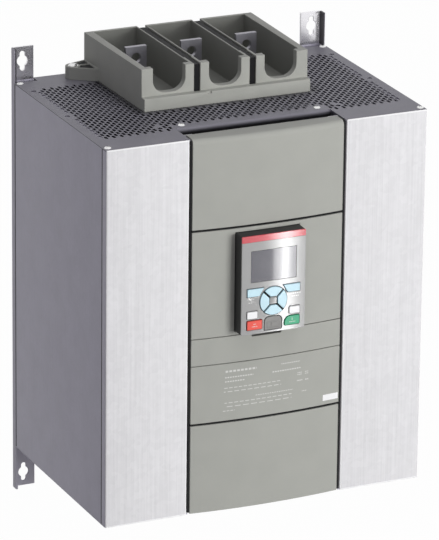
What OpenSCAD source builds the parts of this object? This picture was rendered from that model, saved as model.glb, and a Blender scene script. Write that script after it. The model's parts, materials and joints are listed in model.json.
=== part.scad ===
// Wall-mounted soft starter for a three-phase motor, with built-in bypass and a detachable keypad.
// The origin is the centre of the housing on the wall plane: +X right, +Y into the wall, +Z up.

/* [Housing] */
// Width of the steel housing
housing_w = 435; // [425:1:480]
// Height of the steel housing
housing_h = 495; // [490:1:560]
// Depth from the wall to the steel front
housing_d = 310; // [305:1:350]
// Thickness of the folded sheet
sheet_t = 1.5; // [1:0.1:2]
// Inside radius of a fold in the sheet
fold_r = 1; // [0.5:0.1:1.5]
// Width of each steel front panel
front_panel_w = 111; // [105:0.5:120]
// Depth of the front panel's return along the side
front_return = 13; // [12:0.5:18]
// Width of the flanges that join one sheet to the next
flange_w = 18; // [16:0.5:19]

/* [Wall rails] */
// Width of the rail's web on the wall
rail_w = 30.5; // [26:0.5:36]
// Thickness of the rail
rail_t = 3; // [2:0.25:4]
// Depth of the rail's flange along the side
rail_flange = 14; // [12:0.5:18]
// Height of the mounting tab above the housing
top_tab = 44; // [40:1:60]
// Length of the mounting tab below the housing
bottom_tab = 60; // [55:1:80]
// Diameter of the keyhole's round middle
keyhole_d = 14; // [12:0.5:16]
// Width of the keyhole's slot
keyhole_slot_w = 6.5; // [5:0.5:9]
// Length of the keyhole from end to end
keyhole_len = 25.3; // [22:0.1:30]
// Keyhole centre from the outer edge of the rail
keyhole_edge = 15; // [13:0.5:18]
// Keyhole centre from the end of its tab
keyhole_end = 19; // [16:0.5:22]

/* [Top and bottom plates] */
// Width of a ventilation slot
slot_w = 3.6; // [2:0.1:4.5]
// Length of a ventilation slot
slot_l = 9.6; // [6:0.1:10]
// Spacing of the slots from side to side
slot_pitch_x = 7.6; // [7:0.1:12]
// Spacing of the slots from front to back
slot_pitch_y = 13.6; // [13:0.1:20]
// Depth of the notch behind the front covers
notch_d = 45; // [40:0.5:60]
// Clear width on each side of the covers in the notch
notch_side = 1.5; // [0.5:0.5:3]
// Depth of the notch's rolled lip
lip_h = 11; // [8:0.5:16]
// Diameter of the plate screws' shanks
screw_d = 4; // [3:0.5:5]
// Diameter of the plate screws' heads
screw_head_d = 9; // [7:0.5:10]

/* [Terminal shrouds] */
// Spacing of the three phases
phase_pitch = 76.5; // [74:0.5:80]
// Outside width of a cable chamber
chamber_w = 68; // [64:0.5:71]
// Height of a shroud over the plate
shroud_h = 52.5; // [50:0.5:60]
// Depth of a shroud from front to back
shroud_d = 186.5; // [180:0.5:200]
// Gap between the shroud's back and the wall
shroud_back = 1; // [0.5:0.5:4]
// Height of the front ledge
ledge_h = 16.5; // [14:0.5:18]
// Depth of the front ledge
ledge_d = 9.5; // [8:0.5:16]
// How far the shroud's ends stand out past the end chambers
ledge_side = 3.5; // [2:0.25:5]
// How much further the ends stand out near the wall
end_flare = 3; // [0:0.5:5]
// Wall between chambers, beside the posts
chamber_wall = 3.5; // [2.5:0.25:4.5]
// How much thinner the walls between chambers are behind the posts
wall_relief = 1.5; // [0.5:0.25:1.75]
// Depth of the thick front part of those walls
thick_d = 30; // [20:0.5:60]
// Wall at the outer ends of the shroud
end_wall = 5.25; // [4:0.25:7]
// Thickness of the front posts beside a mouth
post_d = 10; // [6:0.5:14]
// Width of a chamber's mouth
mouth_w = 44; // [38:0.5:48]
// Height of the mouth's sill over the plate
mouth_sill = 19.5; // [18:0.5:24]
// Radius at the bottom corners of a mouth
mouth_r = 17; // [10:0.5:18]
// Thickness of the chamber floor
floor_t = 5; // [3:0.5:8]
// Fixing ear centre from the end of the shroud
ear_out = 26; // [22:0.5:32]
// Fixing ear centre from the wall
ear_back = 20; // [16:0.5:26]
// Radius of the ear's tip
ear_r = 10; // [9:0.5:12]
// Outside diameter of the metal bush in the ear
bush_d = 13; // [11:0.5:15]
// Bore of the metal bush
bush_bore = 6.6; // [5.5:0.1:8]

/* [Terminals] */
// Width of a terminal bar
bar_w = 29; // [26:0.5:36]
// Thickness of a terminal bar
bar_t = 6; // [5:0.5:8]
// Terminal face from the wall
bar_face = 75; // [70:0.5:85]
// Height of a terminal bar over the plate
bar_reach = 49.5; // [46:0.5:58]
// Bore of the cable bolt's hole
terminal_bore = 13; // [11:0.5:15]
// Height of the cable bolt's hole over the plate
terminal_hole = 34.3; // [32:0.1:40]
// Clearance round a bar where it passes through another piece
bar_clear = 0.3; // [0.2:0.1:0.5]

/* [Front covers] */
// Gap between the covers and the steel panels
cover_gap = 4; // [3:0.5:6]
// Wall of the moulded covers
cover_t = 3; // [2:0.25:4]
// How far the covers bow out in the middle
cover_bow = 6; // [4:0.5:12]
// Seat of the covers behind the steel front
cover_seat = 22; // [20:0.5:28]
// Width of the two dark gaps between covers
wide_gap = 3; // [2:0.25:5]
// Width of the two fine joints between covers
fine_gap = 0.8; // [0.5:0.1:1.5]
// Height of the middle of the upper dark gap
upper_joint = 128; // [127:0.5:140]
// Height of the joint under the control cover
control_joint = -14; // [-15:0.5:-13]
// Height of the joint under the hatch
hatch_joint = -50; // [-60:0.5:-45]
// Height of the middle of the lower dark gap
lower_joint = -128; // [-140:0.5:-115]
// Width of the finger recess under the keypad
recess_w = 40; // [30:1:50]
// Depth of the finger recess below the keypad
recess_h = 10; // [8:0.5:14]

/* [Keypad] */
// Width of the keypad
keypad_w = 87; // [84:0.5:100]
// Height of the keypad
keypad_h = 129.5; // [128.5:0.5:130]
// Keypad centre from the middle of the housing
keypad_x = -2.2; // [-6:0.1:6]
// Height of the keypad's centre
keypad_z = 56.2; // [55.8:0.1:56.8]
// Keypad face in front of the steel front
keypad_out = 24; // [22:0.5:28]
// Pocket floor behind the steel front
pocket_in = 4; // [2:0.5:6]
// Wall of the keypad's housing
keypad_wall = 2; // [1.5:0.1:2.5]
// Thickness of the keypad's front plate
face_t = 2; // [1.5:0.1:2.5]
// Clearance of the keypad in its pocket
pocket_clear = 0.5; // [0.3:0.1:0.8]
// Height of the coloured band over the display
band_h = 8.3; // [6:0.1:9]
// Width of the display window
window_w = 61.4; // [56:0.1:66]
// Height of the display window
window_h = 40.8; // [38:0.1:43]
// Window centre over the keypad's centre
window_up = 24; // [22.5:0.1:25]
// How far a key stands out of the face
key_proud = 1.4; // [1:0.1:2]
// Clearance round a key
key_clear = 0.8; // [0.4:0.05:0.9]
// Travel of a key
key_travel = 0.8; // [0.5:0.1:1]
// Radius of the round cursor pad
pad_r = 18.4; // [16:0.1:19]
// Cursor pad centre under the keypad's centre
pad_down = 23.4; // [22.8:0.1:24]
// Half width of the square in the middle of the cursor pad
pad_hub = 4.6; // [3.5:0.1:5.5]
// Half width of the gaps between the cursor keys
pad_gap = 1.2; // [1:0.1:1.5]

/* [Inside] */
// Height of the heat sink
sink_h = 340; // [300:1:350]
// Depth of the heat sink's base plate
sink_base = 14; // [10:0.5:18]
// Depth of the heat sink's fins
fin_d = 64; // [56:0.5:70]
// Thickness of a fin
fin_t = 2.5; // [1.5:0.25:3.5]
// Spacing of the fins
fin_pitch = 11; // [9:0.5:16]
// Width of a thyristor module
module_w = 62; // [56:0.5:68]
// Height of a thyristor module
module_h = 190; // [170:1:200]
// Depth of a thyristor module
module_d = 40; // [34:0.5:46]
// Depth of a bypass contactor
contactor_d = 80; // [70:1:84]
// Side of the cooling fan's square frame
fan_side = 78; // [70:1:80]
// Depth of the cooling fan
fan_d = 38; // [32:1:40]
// Cooling fan centre from the wall
fan_back = 106; // [100:1:120]

/* [Hidden] */
$fn = 48;

steel_grey = [0.50, 0.50, 0.54];
galvanised = [0.86, 0.86, 0.87];
cover_grey = [0.68, 0.69, 0.65];
shroud_grey = [0.64, 0.65, 0.62];
tinned = [0.62, 0.62, 0.65];
black_plastic = [0.17, 0.17, 0.18];
bright_metal = [0.88, 0.88, 0.88];
board_green = [0.12, 0.35, 0.20];
key_blue = [0.78, 0.89, 0.96];
key_red = [0.90, 0.30, 0.22];
key_green = [0.18, 0.60, 0.40];
plate_grey = [0.67, 0.67, 0.66];
rubber_grey = [0.50, 0.49, 0.48];
band_red = [0.80, 0.16, 0.20];
lens_grey = [0.44, 0.43, 0.47];
dark_grey = [0.24, 0.24, 0.26];
fan_black = [0.13, 0.13, 0.14];
terminal_green = [0.20, 0.42, 0.28];
sink_grey = [0.72, 0.73, 0.75];

// Faces and half sizes of the housing
half_w = housing_w / 2;
half_h = housing_h / 2;
front_y = -housing_d;
inner_z = half_h - sheet_t;
open_half = half_w - front_panel_w;
rail_clear = 2.5;
bend_steps = 4;
phases = [-phase_pitch, 0, phase_pitch];

// Front stack: covers on a chassis plate, which lies on the flanges of the front panels
chassis_t = 3;
chassis_side = 0.3;
chassis_end = 7;
chassis_y = front_y + cover_seat;
chassis_lap = 14.5;
cover_half = open_half - cover_gap;
cover_r = (cover_half * cover_half + cover_bow * cover_bow) / (2 * cover_bow);
cover_end = 0.5;
strip_clear = 0.6;
strip_sink = 1.5;
joint_clear = 0.4;

// Shroud faces
shroud_y = -shroud_back - shroud_d;
block_y = shroud_y + ledge_d;
block_d = shroud_d - ledge_d;
block_half = phase_pitch + chamber_w / 2;
ledge_half = block_half + ledge_side;
ear_x = ledge_half + ear_out;
phase_gap = phase_pitch - chamber_w;
barrier_sink = 2;
barrier_clear = 0.5;
bar_y = -bar_face + bar_t / 2;

// Inner stack from the wall to the contactors
sink_side = 4;
sink_drop = 57.5;
sink_half = half_w - rail_w - rail_t - sink_side;
sink_top = half_h - sink_drop;
sink_y = -sheet_t - fin_d;
module_y = sink_y - sink_base;
module_face = module_y - module_d;
pad_t = 4;
leg_lap = 40;
leg_y = module_face - bar_t / 2;
jog_drop = 34;
bar_bend = 6;

// Current transformers round the load legs, and the board and terminals on the chassis
ring_wall = [12, 22];
ring_h = 46;
ring_up = 4;
board_h = 210;
board_side = 6;
board_half = [open_half - chassis_lap - board_side, board_h / 2];
standoff_l = 13;
standoff_d = 7;
standoff_in = 6;
way_pitch = 10;
way_side = 18;
way_clear = 9;
way_h = 22;
way_entry = [6, 7];
way_count = floor(2 * (cover_half - cover_t - way_side) / way_pitch);

// Plate screws and plain holes, as [x, y] on the right half of a plate
screw_in = 5.5;
screw_clear = 0.6;
screw_back = 5;
screw_fore = 4;
screw_cover = 10;
screw_lip = 13;
screw_spots = [
    [half_w - screw_in, -rail_flange - screw_back],
    [half_w - screw_in, front_y + front_return - screw_fore],
    [cover_half - screw_cover, front_y + notch_d + screw_lip]
];
plain_hole_d = 4;
plain_in = 9.5;
plain_back = 40;
plain_fore = 10;
plain_open = 15;
plain_lip = 12;
plain_spots = [
    [half_w - plain_in, -rail_flange - plain_back],
    [half_w - plain_in, -housing_d / 2 - plain_fore],
    [open_half + plain_open, front_y + notch_d + plain_lip]
];

// Ventilation field on the top plate
field_side = 15.5;
field_back = 46;
field_edge = 43;
field_front = front_y + field_edge;
field_notch = front_y + notch_d + screw_lip;
field_margin = 4;

// Keypad depths, from its face to the pocket floor
face_y = front_y - keypad_out;
rim_y = face_y + face_t;
pocket_y = front_y + pocket_in;
pocket_wall = 2;
board_t = 1.6;
board_y = rim_y + 6;
mat_gap = 0.1;
key_back = 0.4;
window_step = 0.3;
lens_t = 1.5;
boss_d = 6;
boss_in = 8;
keypad_r = 1.5;
keypad_inner_r = 1;
web_clear = 0.6;
web_sink = 1.2;

// Key outlines, measured from the keypad's centre
key_edge = 35.8;
soft_key_top = -4.7;
soft_key_h = 10;
soft_key_long = 22.4;
soft_key_short = 16.3;
small_key = [14, 9.2];
small_key_z = -39;
drive_key = [20.4, 11.8];
drive_key_z = -52.4;
drive_key_r = 8;
key_corner = 1;
usb_size = [23.4, 17];
usb_z = -52.7;
usb_r = 6;
usb_grip = [17, 8.5];
usb_grip_down = 1.5;
usb_proud = 0.5;
usb_t = 2;
socket_size = [8.6, 4.2];

// Fans
fan_x = (ledge_half + half_w - flange_w) / 2;
fan_y = -fan_back;
fan_r = fan_side / 2 - 2;
fan_hub_r = 16;
fan_strut = 4;
fan_floor = -inner_z;
blade_count = 7;
blade_t = 2;
blade_pitch = 38;
blade_gap = 1.2;
spindle_r = 2;
spindle_clear = 0.3;
guard_rings = 4;
guard_web = 3;

function turned(v, a) = [v.x * cos(a) - v.y * sin(a), v.x * sin(a) + v.y * cos(a)];
function left_of(d) = [-d.y, d.x];
function heading(points, i) = (points[i + 1] - points[i]) / norm(points[i + 1] - points[i]);
function flat(lists) = [for (list = lists) for (item = list) item];
function backwards(list) = [for (i = [len(list) - 1 : -1 : 0]) list[i]];

// One fold of a strip: pairs of a centre-line point and the normal there
function fold(points, i, r) =
    let (
        before = heading(points, i - 1),
        after = heading(points, i),
        turn = atan2(before.x * after.y - before.y * after.x, before * after),
        side = sign(turn),
        start = points[i] - before * r * tan(abs(turn) / 2),
        centre = start + left_of(before) * side * r
    )
    [for (k = [0 : bend_steps])
        let (n = turned(left_of(before), turn * k / bend_steps))
        [centre - n * side * r, n]];

// Outline of a strip of thickness t that follows a centre line, with folds of inside radius r
function strip(points, t, r) =
    let (
        last = len(points) - 1,
        line = concat(
            [[points[0], left_of(heading(points, 0))]],
            flat([for (i = [1 : 1 : last - 1]) fold(points, i, r + t / 2)]),
            [[points[last], left_of(heading(points, last - 1))]]
        )
    )
    concat([for (p = line) p[0] + p[1] * t / 2], backwards([for (p = line) p[0] - p[1] * t / 2]));

// Rounded rectangle with a radius for each corner, anticlockwise from the lower left
function rounded(w, h, radii) =
    flat([for (c = [0 : 3])
        let (
            sx = (c == 0 || c == 3) ? -1 : 1,
            sy = c < 2 ? -1 : 1,
            r = radii[c],
            steps = r > 0 ? bend_steps : 1
        )
        [for (k = [0 : r > 0 ? steps : 0])
            let (a = 180 + 90 * c + 90 * k / steps)
            [sx * (w / 2 - r) + r * cos(a), sy * (h / 2 - r) + r * sin(a)]]]);

function box_path(x, y, w, h) =
    [[x - w / 2, y - h / 2], [x + w / 2, y - h / 2], [x + w / 2, y + h / 2], [x - w / 2, y + h / 2]];

// Raises a front outline at depth y, growing towards the viewer
module facing(y, depth) {
    translate([0, y, 0]) rotate([90, 0, 0]) linear_extrude(depth) children();
}

// Draws a side profile, in Y and Z, across a width centred on x
module across(x, width) {
    translate([x - width / 2, 0, 0]) rotate([90, 0, 90]) linear_extrude(width) children();
}

module upright(height) {
    translate([0, 0, -height / 2]) linear_extrude(height) children();
}

module on_side(side) {
    mirror([side < 0 ? 1 : 0, 0, 0]) children();
}

module on_end(end) {
    mirror([0, 0, end < 0 ? 1 : 0]) children();
}

module keyhole() {
    circle(d = keyhole_d);
    square([keyhole_slot_w, keyhole_len - keyhole_slot_w], center = true);
    for (end = [-1, 1])
        translate([0, end * (keyhole_len - keyhole_slot_w) / 2]) circle(d = keyhole_slot_w);
}

// L-shaped wall rail with a keyhole in each tab
module rail(side) {
    low = -half_h - bottom_tab;
    high = half_h + top_tab;
    color(steel_grey) on_side(side) difference() {
        translate([0, 0, low]) linear_extrude(high - low)
            polygon(strip([
                [half_w - rail_w, -rail_t / 2],
                [half_w - rail_t / 2, -rail_t / 2],
                [half_w - rail_t / 2, -rail_flange]
            ], rail_t, fold_r));
        for (z = [low + keyhole_end, high - keyhole_end])
            translate([half_w - keyhole_edge, 1, z]) facing(0, rail_t + 2) keyhole();
    }
}

// Pan against the wall, with wings that step forward over the rails
module back_plate() {
    pan = half_w - rail_w - rail_clear - rail_t;
    wing = half_w - rail_t - fold_r - rail_clear;
    wing_y = -rail_t - sheet_t / 2;
    pan_y = -sheet_t / 2;
    half_line = [[pan, pan_y], [pan + rail_t, wing_y], [wing, wing_y]];
    lap_half = sink_half / 2;
    color(steel_grey) {
        upright(2 * inner_z)
            polygon(strip(concat([for (p = backwards(half_line)) [-p.x, p.y]], half_line), sheet_t, fold_r));
        for (end = [-1, 1]) on_end(end)
            translate([-lap_half, -flange_w, inner_z - sheet_t])
                cube([2 * lap_half, flange_w - sheet_t / 2, sheet_t]);
    }
}

module side_panel(side) {
    back = -rail_flange - sheet_t / 2;
    fore = front_y + front_return + sheet_t / 2;
    color(steel_grey) on_side(side) difference() {
        union() {
            upright(2 * inner_z)
                polygon(strip([
                    [half_w - flange_w, back],
                    [half_w - sheet_t / 2, back],
                    [half_w - sheet_t / 2, fore],
                    [half_w - flange_w, fore]
                ], sheet_t, fold_r));
            for (end = [-1, 1]) on_end(end)
                translate([half_w - flange_w, fore, inner_z - sheet_t])
                    cube([flange_w - sheet_t / 2, back - fore, sheet_t]);
        }
        flange_hole(screw_spots[0]);
    }
}

// Holes for one plate screw through the flanges under both plates
module flange_hole(spot) {
    for (end = [-1, 1]) on_end(end)
        translate([spot.x, spot.y, inner_z - 2 * sheet_t])
            cylinder(h = 3 * sheet_t, d = screw_d + screw_clear);
}

// Front panel: a face with an outer return, and an inner return whose flange backs the chassis
module front_panel(side) {
    lap_y = chassis_y + chassis_t + sheet_t / 2;
    face_line = front_y + sheet_t / 2;
    lap_end = front_y + front_return - fold_r;
    color(galvanised) on_side(side) {
        difference() {
            upright(housing_h)
                polygon(strip([
                    [open_half - chassis_lap, lap_y],
                    [open_half + sheet_t / 2, lap_y],
                    [open_half + sheet_t / 2, face_line],
                    [half_w - sheet_t / 2, face_line],
                    [half_w - sheet_t / 2, front_y + front_return]
                ], sheet_t, fold_r));
            for (end = [-1, 1]) on_end(end)
                translate([0, front_y + sheet_t, inner_z]) cube([half_w + 1, housing_d, 2 * sheet_t]);
        }
        difference() {
            for (end = [-1, 1]) on_end(end)
                translate([open_half + sheet_t / 2, front_y + sheet_t / 2, inner_z - sheet_t])
                    cube([front_panel_w - sheet_t, lap_end - front_y - sheet_t / 2, sheet_t]);
            flange_hole(screw_spots[1]);
        }
    }
}

// Outline of the top and bottom plates, notched round the rails and behind the covers
function plate_outline() =
    let (
        tab_x = half_w - rail_w - rail_clear,
        tab_y = -rail_flange,
        notch_x = open_half - notch_side,
        notch_y = front_y + notch_d + fold_r + 2 * sheet_t,
        edge = front_y + sheet_t,
        right = [
            [notch_x, notch_y], [notch_x, edge], [half_w, edge],
            [half_w, tab_y], [tab_x, tab_y], [tab_x, 0]
        ]
    )
    concat(right, backwards([for (p = right) [-p.x, p.y]]));

function bar_paths() =
    let (room = [6, 8])
    [for (x = phases) box_path(x, bar_y, bar_w + room.x, bar_t + room.y)];

function clear_of_spots(x, y) =
    min([for (s = concat(screw_spots, plain_spots)) norm([abs(x) - s.x, y - s.y])]) > slot_l;

function in_field(x, y) =
    abs(x) < half_w - field_side
    && y < -field_back - slot_l / 2
    && y > field_front + slot_l / 2
    && !(abs(x) < ledge_half + field_margin && y > shroud_y - slot_l / 2 - field_margin)
    && !(abs(x) < open_half + field_margin && y < field_notch + slot_l / 2)
    && clear_of_spots(x, y);

// Staggered ventilation slots, long from front to back
function slot_paths() =
    let (columns = ceil(half_w / slot_pitch_x), rows = ceil(housing_d / slot_pitch_y))
    [for (i = [-columns : columns]) for (j = [0 : rows])
        let (
            x = i * slot_pitch_x,
            y = -field_back - slot_pitch_y * (j + (i % 2 == 0 ? 0.5 : 1))
        )
        if (in_field(x, y)) box_path(x, y, slot_w, slot_l)];

// Rolled lip at the back of the notch, under the plate's front edge
module notch_lip() {
    lip_y = front_y + notch_d + sheet_t / 2;
    across(0, 2 * (open_half - notch_side))
        polygon(strip([
            [lip_y + fold_r + 3 * sheet_t, half_h - sheet_t / 2],
            [lip_y, half_h - sheet_t / 2],
            [lip_y, half_h - lip_h]
        ], sheet_t, fold_r));
}

module plate_holes() {
    ear_hole = screw_d + 1.6;
    for (side = [-1, 1]) {
        for (s = screw_spots) translate([side * s.x, s.y]) circle(d = screw_d + screw_clear);
        for (s = plain_spots) translate([side * s.x, s.y]) circle(d = plain_hole_d);
        translate([side * ear_x, -ear_back]) circle(d = ear_hole);
    }
}

module top_panel() {
    color(steel_grey) {
        translate([0, 0, inner_z]) linear_extrude(sheet_t) difference() {
            polygon(plate_outline());
            for (opening = concat(bar_paths(), slot_paths())) polygon(opening);
            plate_holes();
        }
        notch_lip();
    }
}

// Finger guard stamped in the plate under a fan: ring slots crossed by webs
module fan_guard() {
    step = (fan_r - fan_hub_r) / guard_rings;
    difference() {
        for (i = [0 : guard_rings - 1]) difference() {
            circle(r = fan_hub_r + step * (i + 1) - guard_web / 2);
            circle(r = fan_hub_r + step * i + guard_web / 2);
        }
        for (a = [45, 135]) rotate(a) square([2 * fan_side, guard_web], center = true);
    }
}

module bottom_panel() {
    color(steel_grey) on_end(-1) {
        translate([0, 0, inner_z]) linear_extrude(sheet_t) difference() {
            polygon(plate_outline());
            for (opening = bar_paths()) polygon(opening);
            plate_holes();
            for (side = [-1, 1]) translate([side * fan_x, fan_y]) fan_guard();
        }
        notch_lip();
    }
}

// U-shaped mouth of one chamber, open at the top
module mouth() {
    low = half_h + mouth_sill;
    foot = mouth_w / 2 - mouth_r;
    for (side = [-1, 1]) translate([side * foot, low + mouth_r]) circle(r = mouth_r);
    translate([-foot, low]) square([2 * foot, 2 * mouth_r]);
    translate([-mouth_w / 2, low + mouth_r]) square([mouth_w, shroud_h]);
}

// Fixing ear: a lug from the end wall to a round tip that holds a bush
module ear_outline(inset) {
    root_x = block_half - end_wall / 2;
    hull() {
        translate([ear_x, -ear_back]) circle(r = ear_r - inset);
        translate([root_x, -2 * ear_back - ear_r + inset])
            square([end_wall, 2 * ear_back + ear_r - shroud_back - 2 * inset]);
    }
}

// Bore for the bush, and the pocket between it and the end wall
module ear_cuts() {
    pocket_floor = 4;
    rib = 3;
    start = ledge_half + end_flare + 1;
    translate([ear_x, -ear_back, half_h - 1]) cylinder(h = ledge_h + 2, d = bush_d);
    translate([0, 0, half_h + pocket_floor]) linear_extrude(ledge_h) difference() {
        intersection() {
            ear_outline(rib);
            translate([start, -housing_d]) square([ear_x - start, housing_d]);
        }
        translate([ear_x, -ear_back]) circle(d = bush_d + 2 * rib);
    }
}

// Outline of one chamber; the end ones are flush with the ledge's ends and flare towards the wall
module chamber_outline(i) {
    left = phases[i] - chamber_w / 2;
    right = phases[i] + chamber_w / 2;
    flare = ledge_side + end_flare;
    first = i == 0 ? 1 : 0;
    last = i == 2 ? 1 : 0;
    polygon([
        [left - first * ledge_side, block_y], [right + last * ledge_side, block_y],
        [right + last * flare, -shroud_back], [left - first * flare, -shroud_back]
    ]);
}

// Gaps between the chambers, wider behind the posts
module phase_gaps() {
    wide = phase_gap + 2 * wall_relief;
    for (side = [-1, 1]) translate([side * phase_pitch / 2, block_y, half_h + floor_t]) {
        translate([-phase_gap / 2, 0, 0]) cube([phase_gap, block_d, shroud_h]);
        translate([-wide / 2, thick_d, 0]) cube([wide, block_d, shroud_h]);
    }
}

// Three-chamber terminal shroud, one moulding
module shroud(end) {
    hollow = ledge_d / 2 - 1;
    key_notch = [6, chamber_wall - 1];
    color(shroud_grey) on_end(end) difference() {
        union() {
            translate([-ledge_half, shroud_y, half_h]) cube([2 * ledge_half, shroud_d, ledge_h]);
            for (i = [0 : 2]) translate([0, 0, half_h]) linear_extrude(shroud_h) chamber_outline(i);
            for (side = [-1, 1]) on_side(side)
                translate([0, 0, half_h]) linear_extrude(ledge_h) ear_outline(0);
        }
        for (i = [0 : 2]) {
            left = i == 0 ? end_wall : chamber_wall;
            right = i == 2 ? end_wall : chamber_wall;
            translate([phases[i] - chamber_w / 2 + left, block_y + post_d, half_h + floor_t])
                cube([chamber_w - left - right, block_d - post_d - chamber_wall, shroud_h]);
            translate([phases[i], 0, 0]) facing(block_y + post_d + 1, post_d + 2) mouth();
            translate([phases[i] - bar_w / 2 - bar_clear, -bar_face - bar_clear, half_h - 1])
                cube([bar_w + 2 * bar_clear, bar_t + 2 * bar_clear, floor_t + 2]);
        }
        translate([-ledge_half + chamber_wall, shroud_y + chamber_wall, half_h - 1])
            cube([2 * (ledge_half - chamber_wall), hollow, ledge_h - chamber_wall + 1]);
        translate([-phase_pitch / 3 - key_notch.x / 2, shroud_y - 1, half_h + ledge_h - key_notch.y])
            cube([key_notch.x, key_notch.y + 1, key_notch.y + 1]);
        phase_gaps();
        for (side = [-1, 1]) on_side(side) ear_cuts();
    }
}

// Plate in each gap between chambers, top and bottom
module phase_barriers() {
    size = [
        phase_gap - 2 * barrier_clear,
        block_d - barrier_sink - chamber_wall,
        shroud_h - floor_t - barrier_sink
    ];
    color(black_plastic) for (end = [-1, 1], side = [-1, 1])
        on_end(end) translate([side * phase_pitch / 2 - size.x / 2, block_y + barrier_sink, half_h + floor_t])
            cube(size);
}

// Places children at the four shroud ears, top and bottom
module at_ears() {
    for (end = [-1, 1], side = [-1, 1])
        on_end(end) translate([side * ear_x, -ear_back, half_h]) children();
}

module shroud_bushes() {
    seat = 0.1;
    color(bright_metal) at_ears() difference() {
        cylinder(h = ledge_h, d = bush_d - 2 * seat);
        translate([0, 0, -1]) cylinder(h = ledge_h + 2, d = bush_bore);
    }
}

// Pan-head screw, seated on z = 0
module pan_screw(head_d, shank_d, shank) {
    rise = head_d / 3;
    edge = head_d / 2;
    crown = 0.77 * edge;
    rotate_extrude() polygon([[0, 0], [edge, 0], [edge, rise / 2], [crown, rise], [0, rise]]);
    translate([0, 0, -shank]) cylinder(h = shank + rise / 2, d = shank_d);
}

module shroud_screws() {
    head_d = bush_d - 2;
    shank_d = screw_d + 1;
    below = 4;
    color(bright_metal) at_ears()
        translate([0, 0, ledge_h]) pan_screw(head_d, shank_d, ledge_h + below);
}

module panel_screws() {
    shank = 5;
    color(bright_metal) for (end = [-1, 1], side = [-1, 1], s = screw_spots)
        on_end(end) translate([side * s.x, s.y, half_h]) pan_screw(screw_head_d, screw_d, shank);
}

// Terminal bar: an upright plate in the shroud, a jog forward and a leg on the module's face
module terminal_bar(x, end, leg_end) {
    jog_z = half_h - jog_drop;
    line = [[bar_y, half_h + bar_reach], [bar_y, jog_z], [leg_y, jog_z], [leg_y, leg_end]];
    color(tinned) on_end(end) difference() {
        across(x, bar_w) polygon(strip(line, bar_t, bar_bend));
        translate([x, bar_y + bar_t, half_h + terminal_hole])
            rotate([90, 0, 0]) cylinder(h = 2 * bar_t, d = terminal_bore);
    }
}

module line_bar(i) {
    terminal_bar(phases[i], 1, sink_top - leg_lap);
}

module load_bar(i) {
    terminal_bar(phases[i], -1, module_h - sink_top - leg_lap);
}

// Plate behind the covers, with a socket hole for the keypad and windows to the electronics
module front_chassis() {
    half = open_half - fold_r - chassis_side;
    socket_hole = [24, 14];
    window = [70, 50];
    window_z = (upper_joint + half_h) / 2;
    color(black_plastic) facing(chassis_y + chassis_t, chassis_t) difference() {
        square([2 * half, housing_h - 2 * chassis_end], center = true);
        translate([keypad_x, keypad_z]) square(socket_hole, center = true);
        for (side = [-1, 1]) translate([side * half / 2, window_z]) square(window, center = true);
    }
}

// Bowed outline of the front, cut to a half width and sunk below the covers' face
module bowed(half, sink) {
    intersection() {
        translate([0, front_y - cover_bow + cover_r]) circle(r = cover_r - sink, $fn = 360);
        translate([-half, front_y - cover_bow]) square([2 * half, cover_bow + cover_seat]);
    }
}

// Dark strips on the chassis: one beside each edge of the covers, and one in each wide gap between them
module gap_strips() {
    inner = cover_half + strip_clear;
    outer = open_half - fold_r - chassis_side;
    front = front_y + strip_sink;
    end = inner_z - strip_clear;
    rib_h = wide_gap - 2 * joint_clear;
    color(black_plastic) {
        for (side = [-1, 1]) on_side(side)
            translate([inner, front, -end]) cube([outer - inner, chassis_y - front, 2 * end]);
        for (z = [upper_joint, lower_joint])
            translate([0, 0, z - rib_h / 2]) linear_extrude(rib_h) bowed(cover_half, strip_sink);
    }
}

// Bowed section of the front covers, inset from its outer face and open at the back
module cover_section(inset) {
    bowed(cover_half - inset, inset);
    if (inset > 0) translate([-cover_half + inset, chassis_y - 1]) square([2 * (cover_half - inset), 2]);
}

// Bowed cover between two heights, open at the back
module cover_shell(low, high) {
    translate([0, 0, low]) difference() {
        linear_extrude(high - low) cover_section(0);
        translate([0, 0, cover_t]) linear_extrude(high - low - 2 * cover_t) cover_section(cover_t);
    }
}

// Part of the cover's solid section inside a box given by its front outline and its back
module cover_block(back) {
    intersection() {
        upright(housing_h) cover_section(0);
        facing(back, housing_d) children();
    }
}

module pocket_outline(grow) {
    translate([keypad_x, keypad_z]) square([keypad_w + 2 * grow, keypad_h + 2 * grow], center = true);
}

// Finger recess under the keypad, down to the chassis
module recess_outline(grow) {
    low = keypad_z - keypad_h / 2 - recess_h;
    translate([keypad_x - recess_w / 2 - grow, low - grow]) square([recess_w + 2 * grow, recess_h + grow]);
}

module finger_recess() {
    facing(chassis_y + 1, housing_d) recess_outline(0);
}

// Walls of the recess that belong to the cover between two heights
module recess_walls(low, high) {
    intersection() {
        cover_block(chassis_y) recess_outline(pocket_wall);
        translate([-half_w, 2 * front_y, low]) cube([housing_w, 2 * housing_d, high - low]);
    }
}

module upper_cover() {
    color(cover_grey) cover_shell(upper_joint + wide_gap / 2, half_h - cover_end);
}

module control_cover() {
    low = control_joint + fine_gap / 2;
    high = upper_joint - wide_gap / 2;
    plug_hole = [20, 10];
    color(cover_grey) difference() {
        union() {
            cover_shell(low, high);
            cover_block(pocket_y + pocket_wall) pocket_outline(pocket_clear + pocket_wall);
            recess_walls(low, high);
        }
        facing(pocket_y, housing_d) pocket_outline(pocket_clear);
        finger_recess();
        facing(pocket_y + pocket_wall + 1, pocket_wall + 2)
            translate([keypad_x, keypad_z]) square(plug_hole, center = true);
    }
}

module hatch_cover() {
    low = hatch_joint + fine_gap / 2;
    high = control_joint - fine_gap / 2;
    color(cover_grey) difference() {
        union() {
            cover_shell(low, high);
            recess_walls(low, high);
        }
        finger_recess();
    }
}

module rating_cover() {
    color(cover_grey) cover_shell(lower_joint + wide_gap / 2, hatch_joint - fine_gap / 2);
}

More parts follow.
